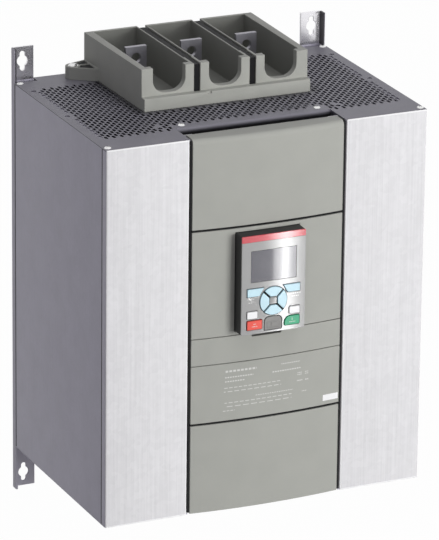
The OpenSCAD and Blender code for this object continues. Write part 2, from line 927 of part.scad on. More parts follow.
module lower_cover() {
    color(cover_grey) cover_shell(-half_h + cover_end, lower_joint - wide_gap / 2);
}

// Comb of fins on a base plate, drawn from above
module heat_sink() {
    count = floor((2 * sink_half - fin_t) / fin_pitch);
    first = -count * fin_pitch / 2;
    fins = flat([for (i = [0 : count])
        let (left = first + i * fin_pitch - fin_t / 2, right = left + fin_t)
        [[left, sink_y], [left, -sheet_t], [right, -sheet_t], [right, sink_y]]]);
    base = [[sink_half, sink_y], [sink_half, module_y], [-sink_half, module_y], [-sink_half, sink_y]];
    color(sink_grey) translate([0, 0, sink_top - sink_h]) linear_extrude(sink_h)
        polygon(concat(fins, base));
}

// A block with raised pads at its two ends, its back at depth y
module padded_block(x, y, width, depth, low, high) {
    translate([x - width / 2, y - depth + pad_t, low]) cube([width, depth - pad_t, high - low]);
    for (z = [low, high - leg_lap])
        translate([x - bar_w / 2, y - depth, z]) cube([bar_w, depth - pad_t / 2, leg_lap]);
}

module thyristor_modules() {
    color(dark_grey) for (x = phases)
        padded_block(x, module_y, module_w, module_d, sink_top - module_h, sink_top);
}

// Bypass contactors, their feet on the legs of the bars
module bypass_contactors() {
    low = sink_top - module_h;
    back = leg_y - bar_t / 2;
    chute = [20, 30];
    color(dark_grey) for (x = phases) difference() {
        union() {
            translate([x - module_w / 2, back - contactor_d, low])
                cube([module_w, contactor_d - pad_t, module_h]);
            for (z = [low, sink_top - leg_lap])
                translate([x - bar_w / 2, back - contactor_d / 2, z]) cube([bar_w, contactor_d / 2, leg_lap]);
        }
        translate([x - chute.x / 2, back - contactor_d - 1, sink_top - module_h / 2 - chute.y / 2])
            cube([chute.x, contactor_d / 8 + 1, chute.y]);
    }
}

module current_transformers() {
    size = [bar_w + 2 * ring_wall.x, bar_t + 2 * ring_wall.y, ring_h];
    z = ring_up - half_h / 2;
    color(dark_grey) for (x = phases) translate([x, leg_y, z]) difference() {
        cube(size, center = true);
        cube([bar_w + 2 * bar_clear, bar_t + 2 * bar_clear, size.z + 2], center = true);
    }
}

// Control board on four posts behind the chassis
module control_board() {
    color(board_green) facing(chassis_y + chassis_t + standoff_l + board_t, board_t)
        square(2 * board_half, center = true);
}

module board_standoffs() {
    spot = board_half - [standoff_in, standoff_in];
    color(bright_metal) for (sx = [-1, 1], sz = [-1, 1])
        translate([sx * spot.x, chassis_y + chassis_t, sz * spot.y])
            rotate([-90, 0, 0]) cylinder(h = standoff_l, d = standoff_d);
}

// Row of control terminals on the chassis, behind the lower cover
module control_terminals() {
    size = [way_count * way_pitch, cover_seat - way_clear, way_h];
    front = chassis_y - size.y;
    z = (lower_joint - half_h) / 2;
    color(terminal_green) difference() {
        translate([-size.x / 2, front, z - size.z / 2]) cube(size);
        for (i = [0 : way_count - 1])
            translate([(i - (way_count - 1) / 2) * way_pitch, front, z - size.z / 4])
                cube([way_entry.x, 2 * way_entry.y, way_entry.y], center = true);
    }
}

// Square fan frame on the bottom plate, with a hub on four struts at its top
module fan_frame(side) {
    corner = 3;
    color(black_plastic) translate([side * fan_x, fan_y, fan_floor]) difference() {
        union() {
            linear_extrude(fan_d) difference() {
                polygon(rounded(fan_side, fan_side, corner * [1, 1, 1, 1]));
                circle(r = fan_r);
            }
            translate([0, 0, fan_d - fan_strut]) linear_extrude(fan_strut) {
                circle(r = fan_hub_r);
                for (a = [0, 90]) rotate(a) square([fan_side - corner, fan_strut], center = true);
            }
        }
        translate([0, 0, fan_d - fan_strut - 1]) cylinder(h = fan_strut + 2, r = spindle_r + spindle_clear);
    }
}

// Fan rotor under the frame's hub: a cup with pitched blades and a spindle
module fan_rotor(side) {
    rotor_h = fan_d - fan_strut - 2 * blade_gap;
    blade_rise = rotor_h - 4;
    blade_w = blade_rise / sin(blade_pitch + 10);
    color(fan_black) translate([side * fan_x, fan_y, fan_floor + blade_gap]) {
        cylinder(h = rotor_h, r = fan_hub_r);
        cylinder(h = rotor_h + blade_gap + fan_strut - 0.5, r = spindle_r);
        intersection() {
            for (i = [0 : blade_count - 1]) rotate(i * 360 / blade_count)
                translate([fan_r / 2, 0, rotor_h / 2])
                    rotate([blade_pitch, 0, 0]) cube([fan_r, blade_w, blade_t], center = true);
            difference() {
                cylinder(h = rotor_h, r = fan_r - blade_gap);
                translate([0, 0, -1]) cylinder(h = rotor_h + 2, r = fan_hub_r - 1);
            }
        }
    }
}

// Outlines of the keypad's openings, each grown by a clearance
module on_keypad() {
    translate([keypad_x, keypad_z]) children();
}

module soft_key_outline(side, grow) {
    low = soft_key_top - soft_key_h;
    mirror([side < 0 ? 1 : 0, 0]) polygon([
        [key_edge + grow, low - grow],
        [key_edge + grow, soft_key_top + grow],
        [key_edge - soft_key_long - grow, soft_key_top + grow],
        [key_edge - soft_key_short - grow, low - grow]
    ]);
}

// One quarter of the cursor pad, turned to its place
module cursor_outline(quarter, grow) {
    gap = pad_gap - grow;
    hub = pad_hub + pad_gap - grow;
    outer = pad_r + grow;
    spread = 45 - asin(gap / outer);
    arc = [for (k = [-bend_steps : bend_steps]) turned([outer, 0], spread * k / bend_steps)];
    corner = hub - gap * sqrt(2);
    translate([0, -pad_down]) rotate(90 - 90 * quarter)
        polygon(concat(arc, [[hub, corner], [hub, -corner]]));
}

module small_key_outline(side, grow) {
    translate([side * (key_edge - small_key.x / 2), small_key_z])
        polygon(rounded(small_key.x + 2 * grow, small_key.y + 2 * grow, (key_corner + grow) * [1, 1, 1, 1]));
}

// Start and stop keys: the corner towards the middle is a large round
module drive_key_outline(side, round_r, grow) {
    small = key_corner + grow;
    size = drive_key + 2 * [grow, grow];
    translate([side * (key_edge - drive_key.x / 2), drive_key_z])
        polygon(rounded(size.x, size.y, [small, small, small, round_r + grow]));
}

module usb_outline(grow) {
    low_r = key_corner + grow;
    high_r = usb_r + grow;
    translate([0, usb_z])
        polygon(rounded(usb_size.x + 2 * grow, usb_size.y + 2 * grow, [low_r, low_r, high_r, high_r]));
}

module window_outline(grow) {
    translate([0, window_up]) square([window_w + 2 * grow, window_h + 2 * grow], center = true);
}

// Black back shell of the keypad, with posts for its board
module keypad_housing() {
    inner = [keypad_w - 2 * keypad_wall, keypad_h - 2 * keypad_wall];
    depth = pocket_y - rim_y;
    post = pocket_y - board_y - board_t;
    boss = inner / 2 - [boss_in, boss_in];
    plug_hole = [14, 6];
    color(black_plastic) {
        difference() {
            facing(pocket_y, depth) on_keypad() polygon(rounded(keypad_w, keypad_h, keypad_r * [1, 1, 1, 1]));
            facing(pocket_y - keypad_wall, depth) on_keypad()
                polygon(rounded(inner.x, inner.y, keypad_inner_r * [1, 1, 1, 1]));
            facing(pocket_y + 1, keypad_wall + 2) on_keypad() square(plug_hole, center = true);
        }
        for (sx = [-1, 1], sz = [-1, 1])
            translate([keypad_x + sx * boss.x, pocket_y, keypad_z + sz * boss.y])
                rotate([90, 0, 0]) cylinder(h = post, d = boss_d);
    }
}

// Front plate of the keypad; thin webs between the cursor keys carry the middle square
module keypad_face() {
    face_h = keypad_h - band_h;
    color(plate_grey) difference() {
        facing(rim_y, face_t) on_keypad() difference() {
            translate([0, -band_h / 2]) polygon(rounded(keypad_w, face_h, keypad_r * [1, 1, 0, 0]));
            window_outline(window_step);
            usb_outline(key_clear);
            for (side = [-1, 1]) {
                soft_key_outline(side, key_clear);
                small_key_outline(side, key_clear);
            }
            drive_key_outline(-1, key_corner, key_clear);
            drive_key_outline(1, drive_key_r, key_clear);
            for (quarter = [0 : 3]) cursor_outline(quarter, web_clear);
        }
        facing(face_y + web_sink, face_t) on_keypad() translate([0, -pad_down]) difference() {
            circle(r = pad_r + key_clear);
            square(2 * pad_hub, center = true);
        }
    }
}

module keypad_band() {
    color(band_red) facing(rim_y, face_t) on_keypad()
        translate([0, (keypad_h - band_h) / 2])
            polygon(rounded(keypad_w, band_h, keypad_r * [0, 0, 1, 1]));
}

module display_lens() {
    color(lens_grey) facing(face_y + window_step + lens_t, lens_t) on_keypad() window_outline(0);
}

module display_module() {
    front = face_y + window_step + lens_t;
    color(dark_grey) facing(board_y, board_y - front) on_keypad() window_outline(-window_step);
}

module keypad_board() {
    border = 2 * keypad_wall + 1;
    color(board_green) facing(board_y + board_t, board_t) on_keypad()
        polygon(rounded(keypad_w - border, keypad_h - border, keypad_inner_r * [1, 1, 1, 1]));
}

// Rubber mat under the keys, with a gap for their travel
module key_mat() {
    front = rim_y - key_back + key_travel + mat_gap;
    margin = 2;
    top = soft_key_top + margin;
    low = keypad_wall + margin - keypad_h / 2;
    color(dark_grey) facing(board_y, board_y - front) on_keypad() difference() {
        translate([-key_edge - margin, low]) square([2 * (key_edge + margin), top - low]);
        usb_outline(key_clear);
    }
}

module usb_socket() {
    wall = 0.6;
    depth = board_y - rim_y + 0.2;
    color(bright_metal) facing(board_y, depth) on_keypad() translate([0, usb_z]) difference() {
        square(socket_size, center = true);
        square(socket_size - 2 * [wall, wall], center = true);
    }
}

// Hinged cover over the service socket, with a raised grip
module usb_cover() {
    front = face_y - usb_proud;
    color(rubber_grey) {
        facing(front + usb_t, usb_t) on_keypad() usb_outline(0);
        facing(front, usb_proud) on_keypad() translate([0, usb_z - usb_grip_down])
            polygon(rounded(usb_grip.x, usb_grip.y, key_corner * [1, 1, 1, 1]));
    }
}

// A key as its outline, from behind the face plate to its proud front
module key(tint) {
    color(tint) facing(rim_y - key_back, face_t - key_back + key_proud) on_keypad() children();
}

module cursor_key(quarter) {
    key(key_blue) cursor_outline(quarter, 0);
}

rail(-1);  // left_rail
rail(1);  // right_rail
back_plate();
side_panel(-1);  // left_side_panel
side_panel(1);  // right_side_panel
front_panel(-1);  // left_front_panel
front_panel(1);  // right_front_panel
top_panel();
bottom_panel();
shroud(1);  // top_shroud
shroud(-1);  // bottom_shroud
phase_barriers();
shroud_bushes();
shroud_screws();
panel_screws();
line_bar(0);  // line_bar_1
line_bar(1);  // line_bar_2
line_bar(2);  // line_bar_3
load_bar(0);  // load_bar_1
load_bar(1);  // load_bar_2
load_bar(2);  // load_bar_3
front_chassis();
gap_strips();
upper_cover();
control_cover();
hatch_cover();
rating_cover();
lower_cover();
heat_sink();
thyristor_modules();
bypass_contactors();
current_transformers();
control_board();
board_standoffs();
control_terminals();
fan_frame(-1);  // fan_frame_left
fan_frame(1);  // fan_frame_right
fan_rotor(-1);  // fan_rotor_left
fan_rotor(1);  // fan_rotor_right
keypad_housing();
keypad_face();
keypad_band();
display_lens();
display_module();
keypad_board();
key_mat();
usb_socket();
usb_cover();
key(key_blue) soft_key_outline(-1, 0);  // soft_key_left
key(key_blue) soft_key_outline(1, 0);  // soft_key_right
cursor_key(0);  // cursor_up
cursor_key(1);  // cursor_right
cursor_key(2);  // cursor_down
cursor_key(3);  // cursor_left
key("white") small_key_outline(-1, 0);  // info_key
key("white") small_key_outline(1, 0);  // local_key
key(key_red) drive_key_outline(-1, key_corner, 0);  // stop_key
key(key_green) drive_key_outline(1, drive_key_r, 0);  // start_key
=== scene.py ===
"""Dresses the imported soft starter: sheet steel, covers, perforated plate, keypad, light and camera."""

from __future__ import annotations

import json
import logging
import math
from collections.abc import Callable, Iterable, Sequence
from dataclasses import dataclass, replace
from enum import Enum
from itertools import product

import bmesh
import bpy
from mathutils import Matrix, Vector

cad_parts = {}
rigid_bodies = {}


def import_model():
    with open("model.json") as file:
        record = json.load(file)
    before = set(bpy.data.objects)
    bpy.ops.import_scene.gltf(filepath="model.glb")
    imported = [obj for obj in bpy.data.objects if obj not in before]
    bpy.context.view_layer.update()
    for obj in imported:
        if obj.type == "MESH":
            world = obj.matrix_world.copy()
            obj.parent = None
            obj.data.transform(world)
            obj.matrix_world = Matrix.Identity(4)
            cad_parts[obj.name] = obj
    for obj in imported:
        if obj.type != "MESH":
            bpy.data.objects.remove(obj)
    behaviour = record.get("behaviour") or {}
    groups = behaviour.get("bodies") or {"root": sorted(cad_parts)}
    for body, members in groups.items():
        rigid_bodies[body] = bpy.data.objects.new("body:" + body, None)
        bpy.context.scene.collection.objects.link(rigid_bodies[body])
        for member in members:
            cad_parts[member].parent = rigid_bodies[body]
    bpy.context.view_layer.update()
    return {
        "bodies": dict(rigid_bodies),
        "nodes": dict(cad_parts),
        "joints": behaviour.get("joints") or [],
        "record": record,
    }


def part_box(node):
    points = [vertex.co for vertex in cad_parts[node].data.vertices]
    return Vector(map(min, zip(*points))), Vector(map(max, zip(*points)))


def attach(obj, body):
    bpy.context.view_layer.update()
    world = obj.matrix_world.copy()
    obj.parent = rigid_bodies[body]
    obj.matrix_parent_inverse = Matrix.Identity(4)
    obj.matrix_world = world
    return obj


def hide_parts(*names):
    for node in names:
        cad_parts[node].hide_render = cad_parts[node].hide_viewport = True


LOG = logging.getLogger("soft_starter")
MM = 0.001
WELD = 1e-6
SIDES = (-1, 1)
FLAT_ANGLE = math.radians(0.5)
SHARP_ANGLE = math.radians(35)
ROUNDED_ANGLE = math.radians(40)

Piece = bpy.types.Object
Mesh = bpy.types.Mesh
Material = bpy.types.Material
Colour = tuple[float, float, float]
Point = tuple[float, float]
Spot = tuple[float, float, float]
Rings = tuple[Sequence[Spot], Sequence[Spot]]
Rounding = tuple[float, tuple[str, ...]]


def scaled(colour: Colour, share: float = 1.0) -> tuple[float, float, float, float]:
    """Return the colour made lighter or darker, as a socket's four numbers."""
    return tuple(min(part * share, 1.0) for part in colour) + (1.0,)


def operator(operation: str, swapped: bool = False) -> Callable[..., Value]:
    """Return a method of Value that adds one Math node.

    Args:
        operation: The node's operation.
        swapped: Whether the other value comes first.

    Returns:
        The method.
    """

    def method(self: Value, other: Feed = 0.0) -> Value:
        """Return what the operation gives."""
        first, second = (other, self) if swapped else (self, other)
        return self.graph.add("ShaderNodeMath", {0: first, 1: second}, operation=operation)

    return method


class Value:
    """One output socket that can be used in Python sums, each of which adds a Math node."""

    def __init__(self, graph: Graph, socket: bpy.types.NodeSocket | None) -> None:
        """Keep the socket and the graph it belongs to."""
        self.graph = graph
        self.socket = socket

    __add__ = operator("ADD")
    __radd__ = __add__
    __sub__ = operator("SUBTRACT")
    __rsub__ = operator("SUBTRACT", swapped=True)
    __mul__ = operator("MULTIPLY")
    __rmul__ = __mul__
    __truediv__ = operator("DIVIDE")
    __rtruediv__ = operator("DIVIDE", swapped=True)
    __mod__ = operator("FLOORED_MODULO")
    __lt__ = operator("LESS_THAN")
    __gt__ = operator("GREATER_THAN")
    __abs__ = operator("ABSOLUTE")
    floor = operator("FLOOR")
    most = operator("MAXIMUM")


Feed = Value | float | int | bool | tuple | list


class Graph:
    """Adds nodes to one shader or geometry tree."""

    def __init__(self, tree: bpy.types.NodeTree) -> None:
        """Start from an empty tree."""
        self.tree = tree
        tree.nodes.clear()

    def add(self, kind: str, inputs: dict | None = None, output: int | str = 0, **settings: str) -> Value:
        """Add one node.

        Args:
            kind: The node's type.
            inputs: Values or links, by socket name or number.
            output: The socket to return.
            settings: The node's own settings, set first.

        Returns:
            The chosen output.
        """
        node = self.tree.nodes.new(kind)
        for key, setting in settings.items():
            setattr(node, key, setting)
        for key, feed in (inputs or {}).items():
            self._feed(node.inputs[key], feed)
        return Value(self, node.outputs[output] if len(node.outputs) else None)

    def _feed(self, socket: bpy.types.NodeSocket, feed: Feed) -> None:
        """Link or set one input, or link several values to a socket that takes many."""
        if isinstance(feed, list):
            for part in feed:
                self.tree.links.new(part.socket, socket)
        elif isinstance(feed, Value):
            self.tree.links.new(feed.socket, socket)
        else:
            socket.default_value = feed

    def noise(self, place: Value, size: float, detail: float = 3.0) -> Value:
        """Return a cloud between 0 and 1 whose patches are about the given size in metres."""
        inputs = {"Vector": place, "Scale": 1.0 / size, "Detail": detail}
        return self.add("ShaderNodeTexNoise", inputs, "Fac")

    def contrast(self, value: Value, low: float, high: float) -> Value:
        """Return value spread so that low gives 0 and high gives 1."""
        return self.add("ShaderNodeMapRange", {0: value, 1: low, 2: high})

    def stretched(self, place: Value, scale: Spot) -> Value:
        """Return the place with each axis scaled."""
        return self.add("ShaderNodeVectorMath", {0: place, 1: scale}, operation="MULTIPLY")

    def toned(self, paint: Value, tone: Value) -> Value:
        """Return a colour made lighter or darker by a share."""
        return self.add("ShaderNodeVectorMath", {0: paint, "Scale": tone}, operation="SCALE")

    def blend(self, share: Feed, first: Feed, second: Feed) -> Value:
        """Return a colour between two."""
        return self.add("ShaderNodeMix", {0: share, 6: first, 7: second}, 2, data_type="RGBA")

    def vector(self, x: Feed = 0.0, y: Feed = 0.0, z: Feed = 0.0) -> Value:
        """Return a vector from its three parts."""
        return self.add("ShaderNodeCombineXYZ", {0: x, 1: y, 2: z})

    def split(self, place: Value) -> tuple[Value, ...]:
        """Return a vector's three parts."""
        node = self.add("ShaderNodeSeparateXYZ", {0: place}).socket.node
        return tuple(Value(self, part) for part in node.outputs)


@dataclass(frozen=True)
class Mark:
    """A pale printed line or patch in X and Z, in millimetres, whole or in dashes of a length with a gap."""

    x: float
    z: float
    width: float
    height: float
    dash: float = 0.0

    def mask(self, across: Value, up: Value) -> Value:
        """Return 1 on the mark, from the place in metres."""
        wide = abs(across - self.x * MM) < self.width * MM / 2
        tall = abs(up - self.z * MM) < self.height * MM / 2
        whole = wide * tall
        if not self.dash:
            return whole
        printed_share = 0.72
        return whole * ((across / (self.dash * MM)) % 1.0 < printed_share)


@dataclass(frozen=True)
class Finish:
    """A surface with mottled colour, varied gloss and fine grain. Lengths in metres, colours linear.

    Attributes:
        name: The record's material slot.
        colour: Middle colour.
        roughness: Middle roughness.
        metallic: Share of bare metal.
        mottle: How far the colour wanders, as a share.
        mottle_size: Size of the patches.
        grain: Height of the grain.
        grain_size: Size of the grain.
        coat: Weight of the clear coat.
        coat_ior: Refraction of the clear coat.
        coat_roughness: Roughness of the clear coat.
        marks: Pale print on the front.
        ink: Colour of the print.
        ink_weight: How well the print covers.
    """

    name: str
    colour: Colour
    roughness: float = 0.5
    metallic: float = 0.0
    mottle: float = 0.04
    mottle_size: float = 0.03
    grain: float = 0.00004
    grain_size: float = 0.0008
    coat: float = 0.0
    coat_ior: float = 1.5
    coat_roughness: float = 0.05
    marks: tuple[Mark, ...] = ()
    ink: Colour = (0.8, 0.8, 0.78)
    ink_weight: float = 0.7

    def shade(self, graph: Graph, place: Value) -> Value:
        """Return the colour over the surface, print included."""
        detail, low, high = 4.0, 0.3, 0.7
        cloud = graph.contrast(graph.noise(place, self.mottle_size, detail), low, high)
        dark, light = (scaled(self.colour, 1 + sign * self.mottle) for sign in SIDES)
        paint = graph.blend(cloud, dark, light)
        if not self.marks:
            return paint
        across, _, up = graph.split(place)
        print_mask = self.marks[0].mask(across, up)
        for mark in self.marks[1:]:
            print_mask = print_mask.most(mark.mask(across, up))
        return graph.blend(print_mask * self.ink_weight, paint, scaled(self.ink))

    def gloss(self, graph: Graph, place: Value) -> Value:
        """Return the roughness over the surface."""
        wander = 0.16
        return (graph.noise(place, self.mottle_size / 2) - 0.5) * wander + self.roughness

    def bareness(self, graph: Graph, place: Value) -> Feed:
        """Return the share of bare metal over the surface."""
        return self.metallic

    def relief(self, graph: Graph, place: Value) -> Value:
        """Return the height of the grain."""
        detail = 2.0
        return graph.noise(place, self.grain_size, detail)

    def build(self) -> Material:
        """Return the finished material."""
        material = bpy.data.materials.new(self.name)
        material.use_nodes = True
        graph = Graph(material.node_tree)
        place = graph.add("ShaderNodeTexCoord", None, "Object")
        bump = {"Strength": 1.0, "Distance": self.grain, "Height": self.relief(graph, place)}
        inputs = {
            "Base Color": self.shade(graph, place),
            "Roughness": self.gloss(graph, place),
            "Metallic": self.bareness(graph, place),
            "Normal": graph.add("ShaderNodeBump", bump),
            "Coat Weight": self.coat,
            "Coat IOR": self.coat_ior,
            "Coat Roughness": self.coat_roughness,
        }
        shader = graph.add("ShaderNodeBsdfPrincipled", inputs)
        graph.add("ShaderNodeOutputMaterial", {"Surface": shader})
        return material


@dataclass(frozen=True)
class SheetFinish(Finish):
    """Zinc-coated sheet: rolling streaks along Z and a faint spangle, each with a share and a size."""

    streak: float = 0.06
    streak_size: float = 0.0011
    spangle: float = 0.04
    spangle_size: float = 0.006

    def shade(self, graph: Graph, place: Value) -> Value:
        """Return the mottled colour with streaks and spangle over it."""
        paint = super().shade(graph, place)
        lengthwise, detail = 0.02, 2.0
        lines = graph.noise(graph.stretched(place, (1.0, 1.0, lengthwise)), self.streak_size, detail)
        cells = {"Vector": place, "Scale": 1.0 / self.spangle_size}
        grey = graph.split(graph.add("ShaderNodeTexVoronoi", cells, "Color"))[0]
        tone = (lines - 0.5) * (2 * self.streak) + (grey - 0.5) * self.spangle + 1.0
        return graph.toned(paint, tone)


@dataclass(frozen=True)
class FrontFinish(SheetFinish):
    """Sheet of the front panels: a painted highlight along the edges, and painted shade on the flanks in the
    colour of the side panels.

    The painted highlight lies before front_depth, within inner_edge of the middle and past end_edge at both
    ends.
    """

    inner_edge: float = 0.1086
    end_edge: float = 0.2458
    front_depth: float = -0.306
    flank_start: float = 0.2172
    flank_shade_colour: Colour = (0.62, 0.60, 0.69)
    edge_highlight_colour: Colour = (1.0, 1.0, 1.0)

    def shade(self, graph: Graph, place: Value) -> Value:
        """Return the sheet's colour with the painted highlight on its edges and painted shade on its flanks.
        """
        paint = super().shade(graph, place)
        across, along, up = graph.split(place)
        edge = (abs(across) < self.inner_edge).most(abs(up) > self.end_edge) * (along < self.front_depth)
        flank = abs(across) > self.flank_start
        # Painted highlight on the front edges, then painted shade on the side flanks.
        paint = graph.blend(edge, paint, scaled(self.edge_highlight_colour))
        return graph.blend(flank, paint, scaled(self.flank_shade_colour))


@dataclass(frozen=True)
class RailFinish(SheetFinish):
    """Sheet of the rails, with smooth bare zinc on the front of the tabs above the housing, whose brighter
    colour is a painted reflection.

    The tabs start at tab_start and end at flank_start. Their web lies from web_back to web_front, and the
    flange before it keeps only a small share of the colour, as painted shade.
    """

    tab_start: float = 0.2476
    flank_start: float = 0.2168
    web_back: float = -0.0008
    web_front: float = -0.0035
    inner_shade_share: float = 0.1
    tab_metal: float = 0.9
    tab_roughness: float = 0.27
    tab_reflection_colour: Colour = (0.88, 0.87, 0.90)

    def _above(self, graph: Graph, place: Value) -> Value:
        """Return 1 above the housing, save on the outer flanks."""
        across, _, up = graph.split(place)
        return (up > self.tab_start) * (abs(across) < self.flank_start)

    def _on_tab(self, graph: Graph, place: Value) -> Value:
        """Return 1 on the front of the tabs and 0 elsewhere."""
        along = graph.split(place)[1]
        return self._above(graph, place) * (along < self.web_back) * (along > self.web_front)

    def shade(self, graph: Graph, place: Value) -> Value:
        """Return the sheet's colour, with a painted reflection on the tabs and painted shade inside their
        flanges.
        """
        paint = super().shade(graph, place)
        # Painted shade inside the flanges, then a painted reflection on the front of the tabs.
        flange = self._above(graph, place) * (graph.split(place)[1] < self.web_front)
        paint = graph.blend(flange, paint, scaled(self.colour, self.inner_shade_share))
        return graph.blend(self._on_tab(graph, place), paint, scaled(self.tab_reflection_colour))

    def bareness(self, graph: Graph, place: Value) -> Feed:
        """Return the share of bare metal, more on the tabs."""
        return self._on_tab(graph, place) * (self.tab_metal - self.metallic) + self.metallic

    def gloss(self, graph: Graph, place: Value) -> Value:
        """Return the roughness, less on the tabs."""
        smoother = self._on_tab(graph, place) * (self.roughness - self.tab_roughness)
        return super().gloss(graph, place) - smoother


@dataclass(frozen=True)
class PlateFinish(SheetFinish):
    """Sheet of the top plate, darker than the side steel as a painted dark reflection, with painted shade
    close to the shroud and down its rolled lip.

    Within reach of the shroud painted shade lowers the colour to its near share, and from lip_high to
    lip_low to its deep share.
    """

    shroud_half: float = 0.1165
    shroud_front: float = -0.1875
    reach: float = 0.015
    shroud_shade_share: float = 0.2
    lip_low: float = 0.2415
    lip_high: float = 0.2466
    lip_shade_share: float = 0.04

    def shade(self, graph: Graph, place: Value) -> Value:
        """Return the sheet's colour, with painted shade near the shroud and down the lip."""
        paint = super().shade(graph, place)
        across, along, up = graph.split(place)
        # Painted shade around the shroud's foot and down the lip.
        away = (abs(across) - self.shroud_half).most(0.0) + (self.shroud_front - along).most(0.0)
        tone = graph.contrast(away, 0.0, self.reach) * (1.0 - self.shroud_shade_share) + self.shroud_shade_share
        lip = graph.contrast(up, self.lip_low, self.lip_high) * (1.0 - self.lip_shade_share) + self.lip_shade_share
        return graph.toned(paint, tone * lip)


@dataclass(frozen=True)
class ShroudFinish(Finish):
    """Moulded plastic with painted shade inside the cable chambers, behind chamber_front and below wall_top.
    """

    chamber_half: float = 0.1065
    chamber_front: float = -0.1685
    wall_top: float = 0.2992
    inner_shade_share: float = 0.6

    def shade(self, graph: Graph, place: Value) -> Value:
        """Return the mottled colour with painted shade in the chambers."""
        paint = super().shade(graph, place)
        across, along, up = graph.split(place)
        # Painted shade inside the chambers.
        chamber_shade = (abs(across) < self.chamber_half) * (along > self.chamber_front) * (abs(up) < self.wall_top)
        return graph.toned(paint, 1.0 - chamber_shade * (1.0 - self.inner_shade_share))


class Ink:
    """Places of the generic pale print, in millimetres."""

    RATING = (
        Mark(-36.0, -61.0, 42.0, 2.6, 5.2),
        Mark(-38.5, -69.0, 38.0, 1.6, 3.4),
        Mark(-44.0, -74.5, 27.0, 1.6, 3.4),
        Mark(32.0, -61.0, 26.0, 1.2, 2.6),
        Mark(26.0, -70.0, 40.0, 1.6, 3.4),
        Mark(-20.0, -83.0, 78.0, 1.0, 6.5),
        Mark(-20.0, -88.0, 78.0, 1.0, 9.0),
        Mark(10.0, -97.5, 52.0, 1.0, 3.2),
        Mark(-12.0, -103.0, 92.0, 1.0, 7.5),
        Mark(-12.0, -108.0, 92.0, 1.0, 11.0),
        Mark(-52.0, -113.5, 16.0, 1.0, 5.0),
        Mark(45.0, -76.5, 6.0, 1.2, 2.2),
        Mark(45.0, -79.0, 6.0, 1.2, 2.2),
        Mark(55.0, -76.5, 5.0, 1.2, 2.2),
        Mark(55.0, -79.0, 5.0, 1.2, 2.2),
        Mark(45.0, -87.0, 8.0, 1.6, 2.8),
        Mark(55.0, -87.0, 5.0, 1.6, 2.8),
        Mark(52.0, -102.0, 7.0, 1.2, 2.4),
    )
    KEYPAD = (
        Mark(-33.0, 38.0, 9.0, 1.2, 3.0),
        Mark(-33.0, 33.5, 6.0, 1.2, 3.0),
        Mark(27.5, 38.5, 16.0, 1.2, 3.0),
        Mark(27.5, 35.0, 10.0, 1.2, 2.6),
    )
    STOP = (Mark(-27.8, 5.4, 3.6, 0.9), Mark(-27.8, 2.2, 8.0, 1.1, 2.2))
    START = (Mark(23.4, 5.4, 0.9, 3.2), Mark(23.4, 1.8, 8.6, 1.1, 2.2))


CLEAR = {"coat": 1.0, "coat_ior": 1.75, "coat_roughness": 0.09}
GLASS = {"coat": 1.0, "coat_ior": 1.6, "coat_roughness": 0.035}
SATIN = {"coat": 0.4, "coat_roughness": 0.15}
FINE_SHEET = {"streak": 0.05, "spangle": 0.03}
FRONT_SHEET = {"streak": 0.11, "streak_size": 0.0026, "spangle": 0.05}

FINISHES: dict[str, Finish] = {
    finish.name: finish
    for finish in (
        FrontFinish("galvanised", (0.79, 0.785, 0.795), 0.5, 0.05, 0.018, **FRONT_SHEET),
        SheetFinish("steel", (0.62, 0.60, 0.69), 0.5, 0.05, **FINE_SHEET),
        # The top plate's steel, painted far darker than the sides to stand for its dark reflection.
        PlateFinish("plate_steel_painted_dark", (0.24, 0.233, 0.27), 0.5, 0.05, **FINE_SHEET),
        RailFinish("rail_steel", (0.60, 0.58, 0.66), 0.5, 0.05, grain=1e-7, **FINE_SHEET),
        # A near-black copy of black plastic, painted shade in gaps, seams and pockets.
        Finish("painted_shade_black", (0.006, 0.006, 0.007), 0.8, mottle=0.1),
        ShroudFinish("shroud", (0.41, 0.415, 0.38), 0.6, mottle=0.05, grain=0.00005),
        Finish("cover", (0.41, 0.415, 0.38), 0.55, mottle=0.025, grain=0.00005),
        Finish("bright_metal", (0.80, 0.80, 0.80), 0.25, 0.9, mottle=0.06, mottle_size=0.004),
        Finish("tinned_bar", (0.34, 0.335, 0.37), 0.35, 0.5, mottle=0.08, mottle_size=0.012),
        Finish("black_plastic", (0.02, 0.02, 0.021), 0.5, mottle=0.1),
        Finish("sink_aluminium", (0.62, 0.63, 0.65), 0.35, 0.9, mottle=0.06),
        Finish("module_plastic", (0.06, 0.06, 0.065), 0.5, mottle=0.1),
        Finish("circuit_board", (0.02, 0.16, 0.07), 0.4, mottle=0.12, mottle_size=0.01),
        Finish("terminal_plastic", (0.05, 0.22, 0.10), 0.5),
        Finish("keypad_plate", (0.30, 0.30, 0.295), 0.4, mottle=0.03, marks=Ink.KEYPAD, **CLEAR),
        Finish("red_band", (0.58, 0.02, 0.04), 0.35, mottle=0.04, **CLEAR),
        Finish("display", (0.05, 0.048, 0.068), 0.2, mottle=0.04, grain=1e-7, **GLASS),
        Finish("rubber_mat", (0.03, 0.03, 0.03), 0.7, mottle=0.1),
        Finish("grey_rubber", (0.30, 0.295, 0.285), 0.6, mottle=0.06),
        Finish("blue_key", (0.60, 0.84, 0.93), 0.4, mottle=0.03, **SATIN),
        Finish("white_key", (0.95, 0.95, 0.95), 0.4, mottle=0.03, **SATIN),
        Finish("red_key", (0.85, 0.09, 0.06), 0.4, mottle=0.04, marks=Ink.STOP, **SATIN),
        Finish("green_key", (0.03, 0.38, 0.19), 0.4, mottle=0.04, marks=Ink.START, **SATIN),
    )
}
# Nodes seen only deep in gaps, painted near-black as shade.
PAINTED_SHADE_NODES = ("front_chassis", "gap_strips", "phase_barriers")


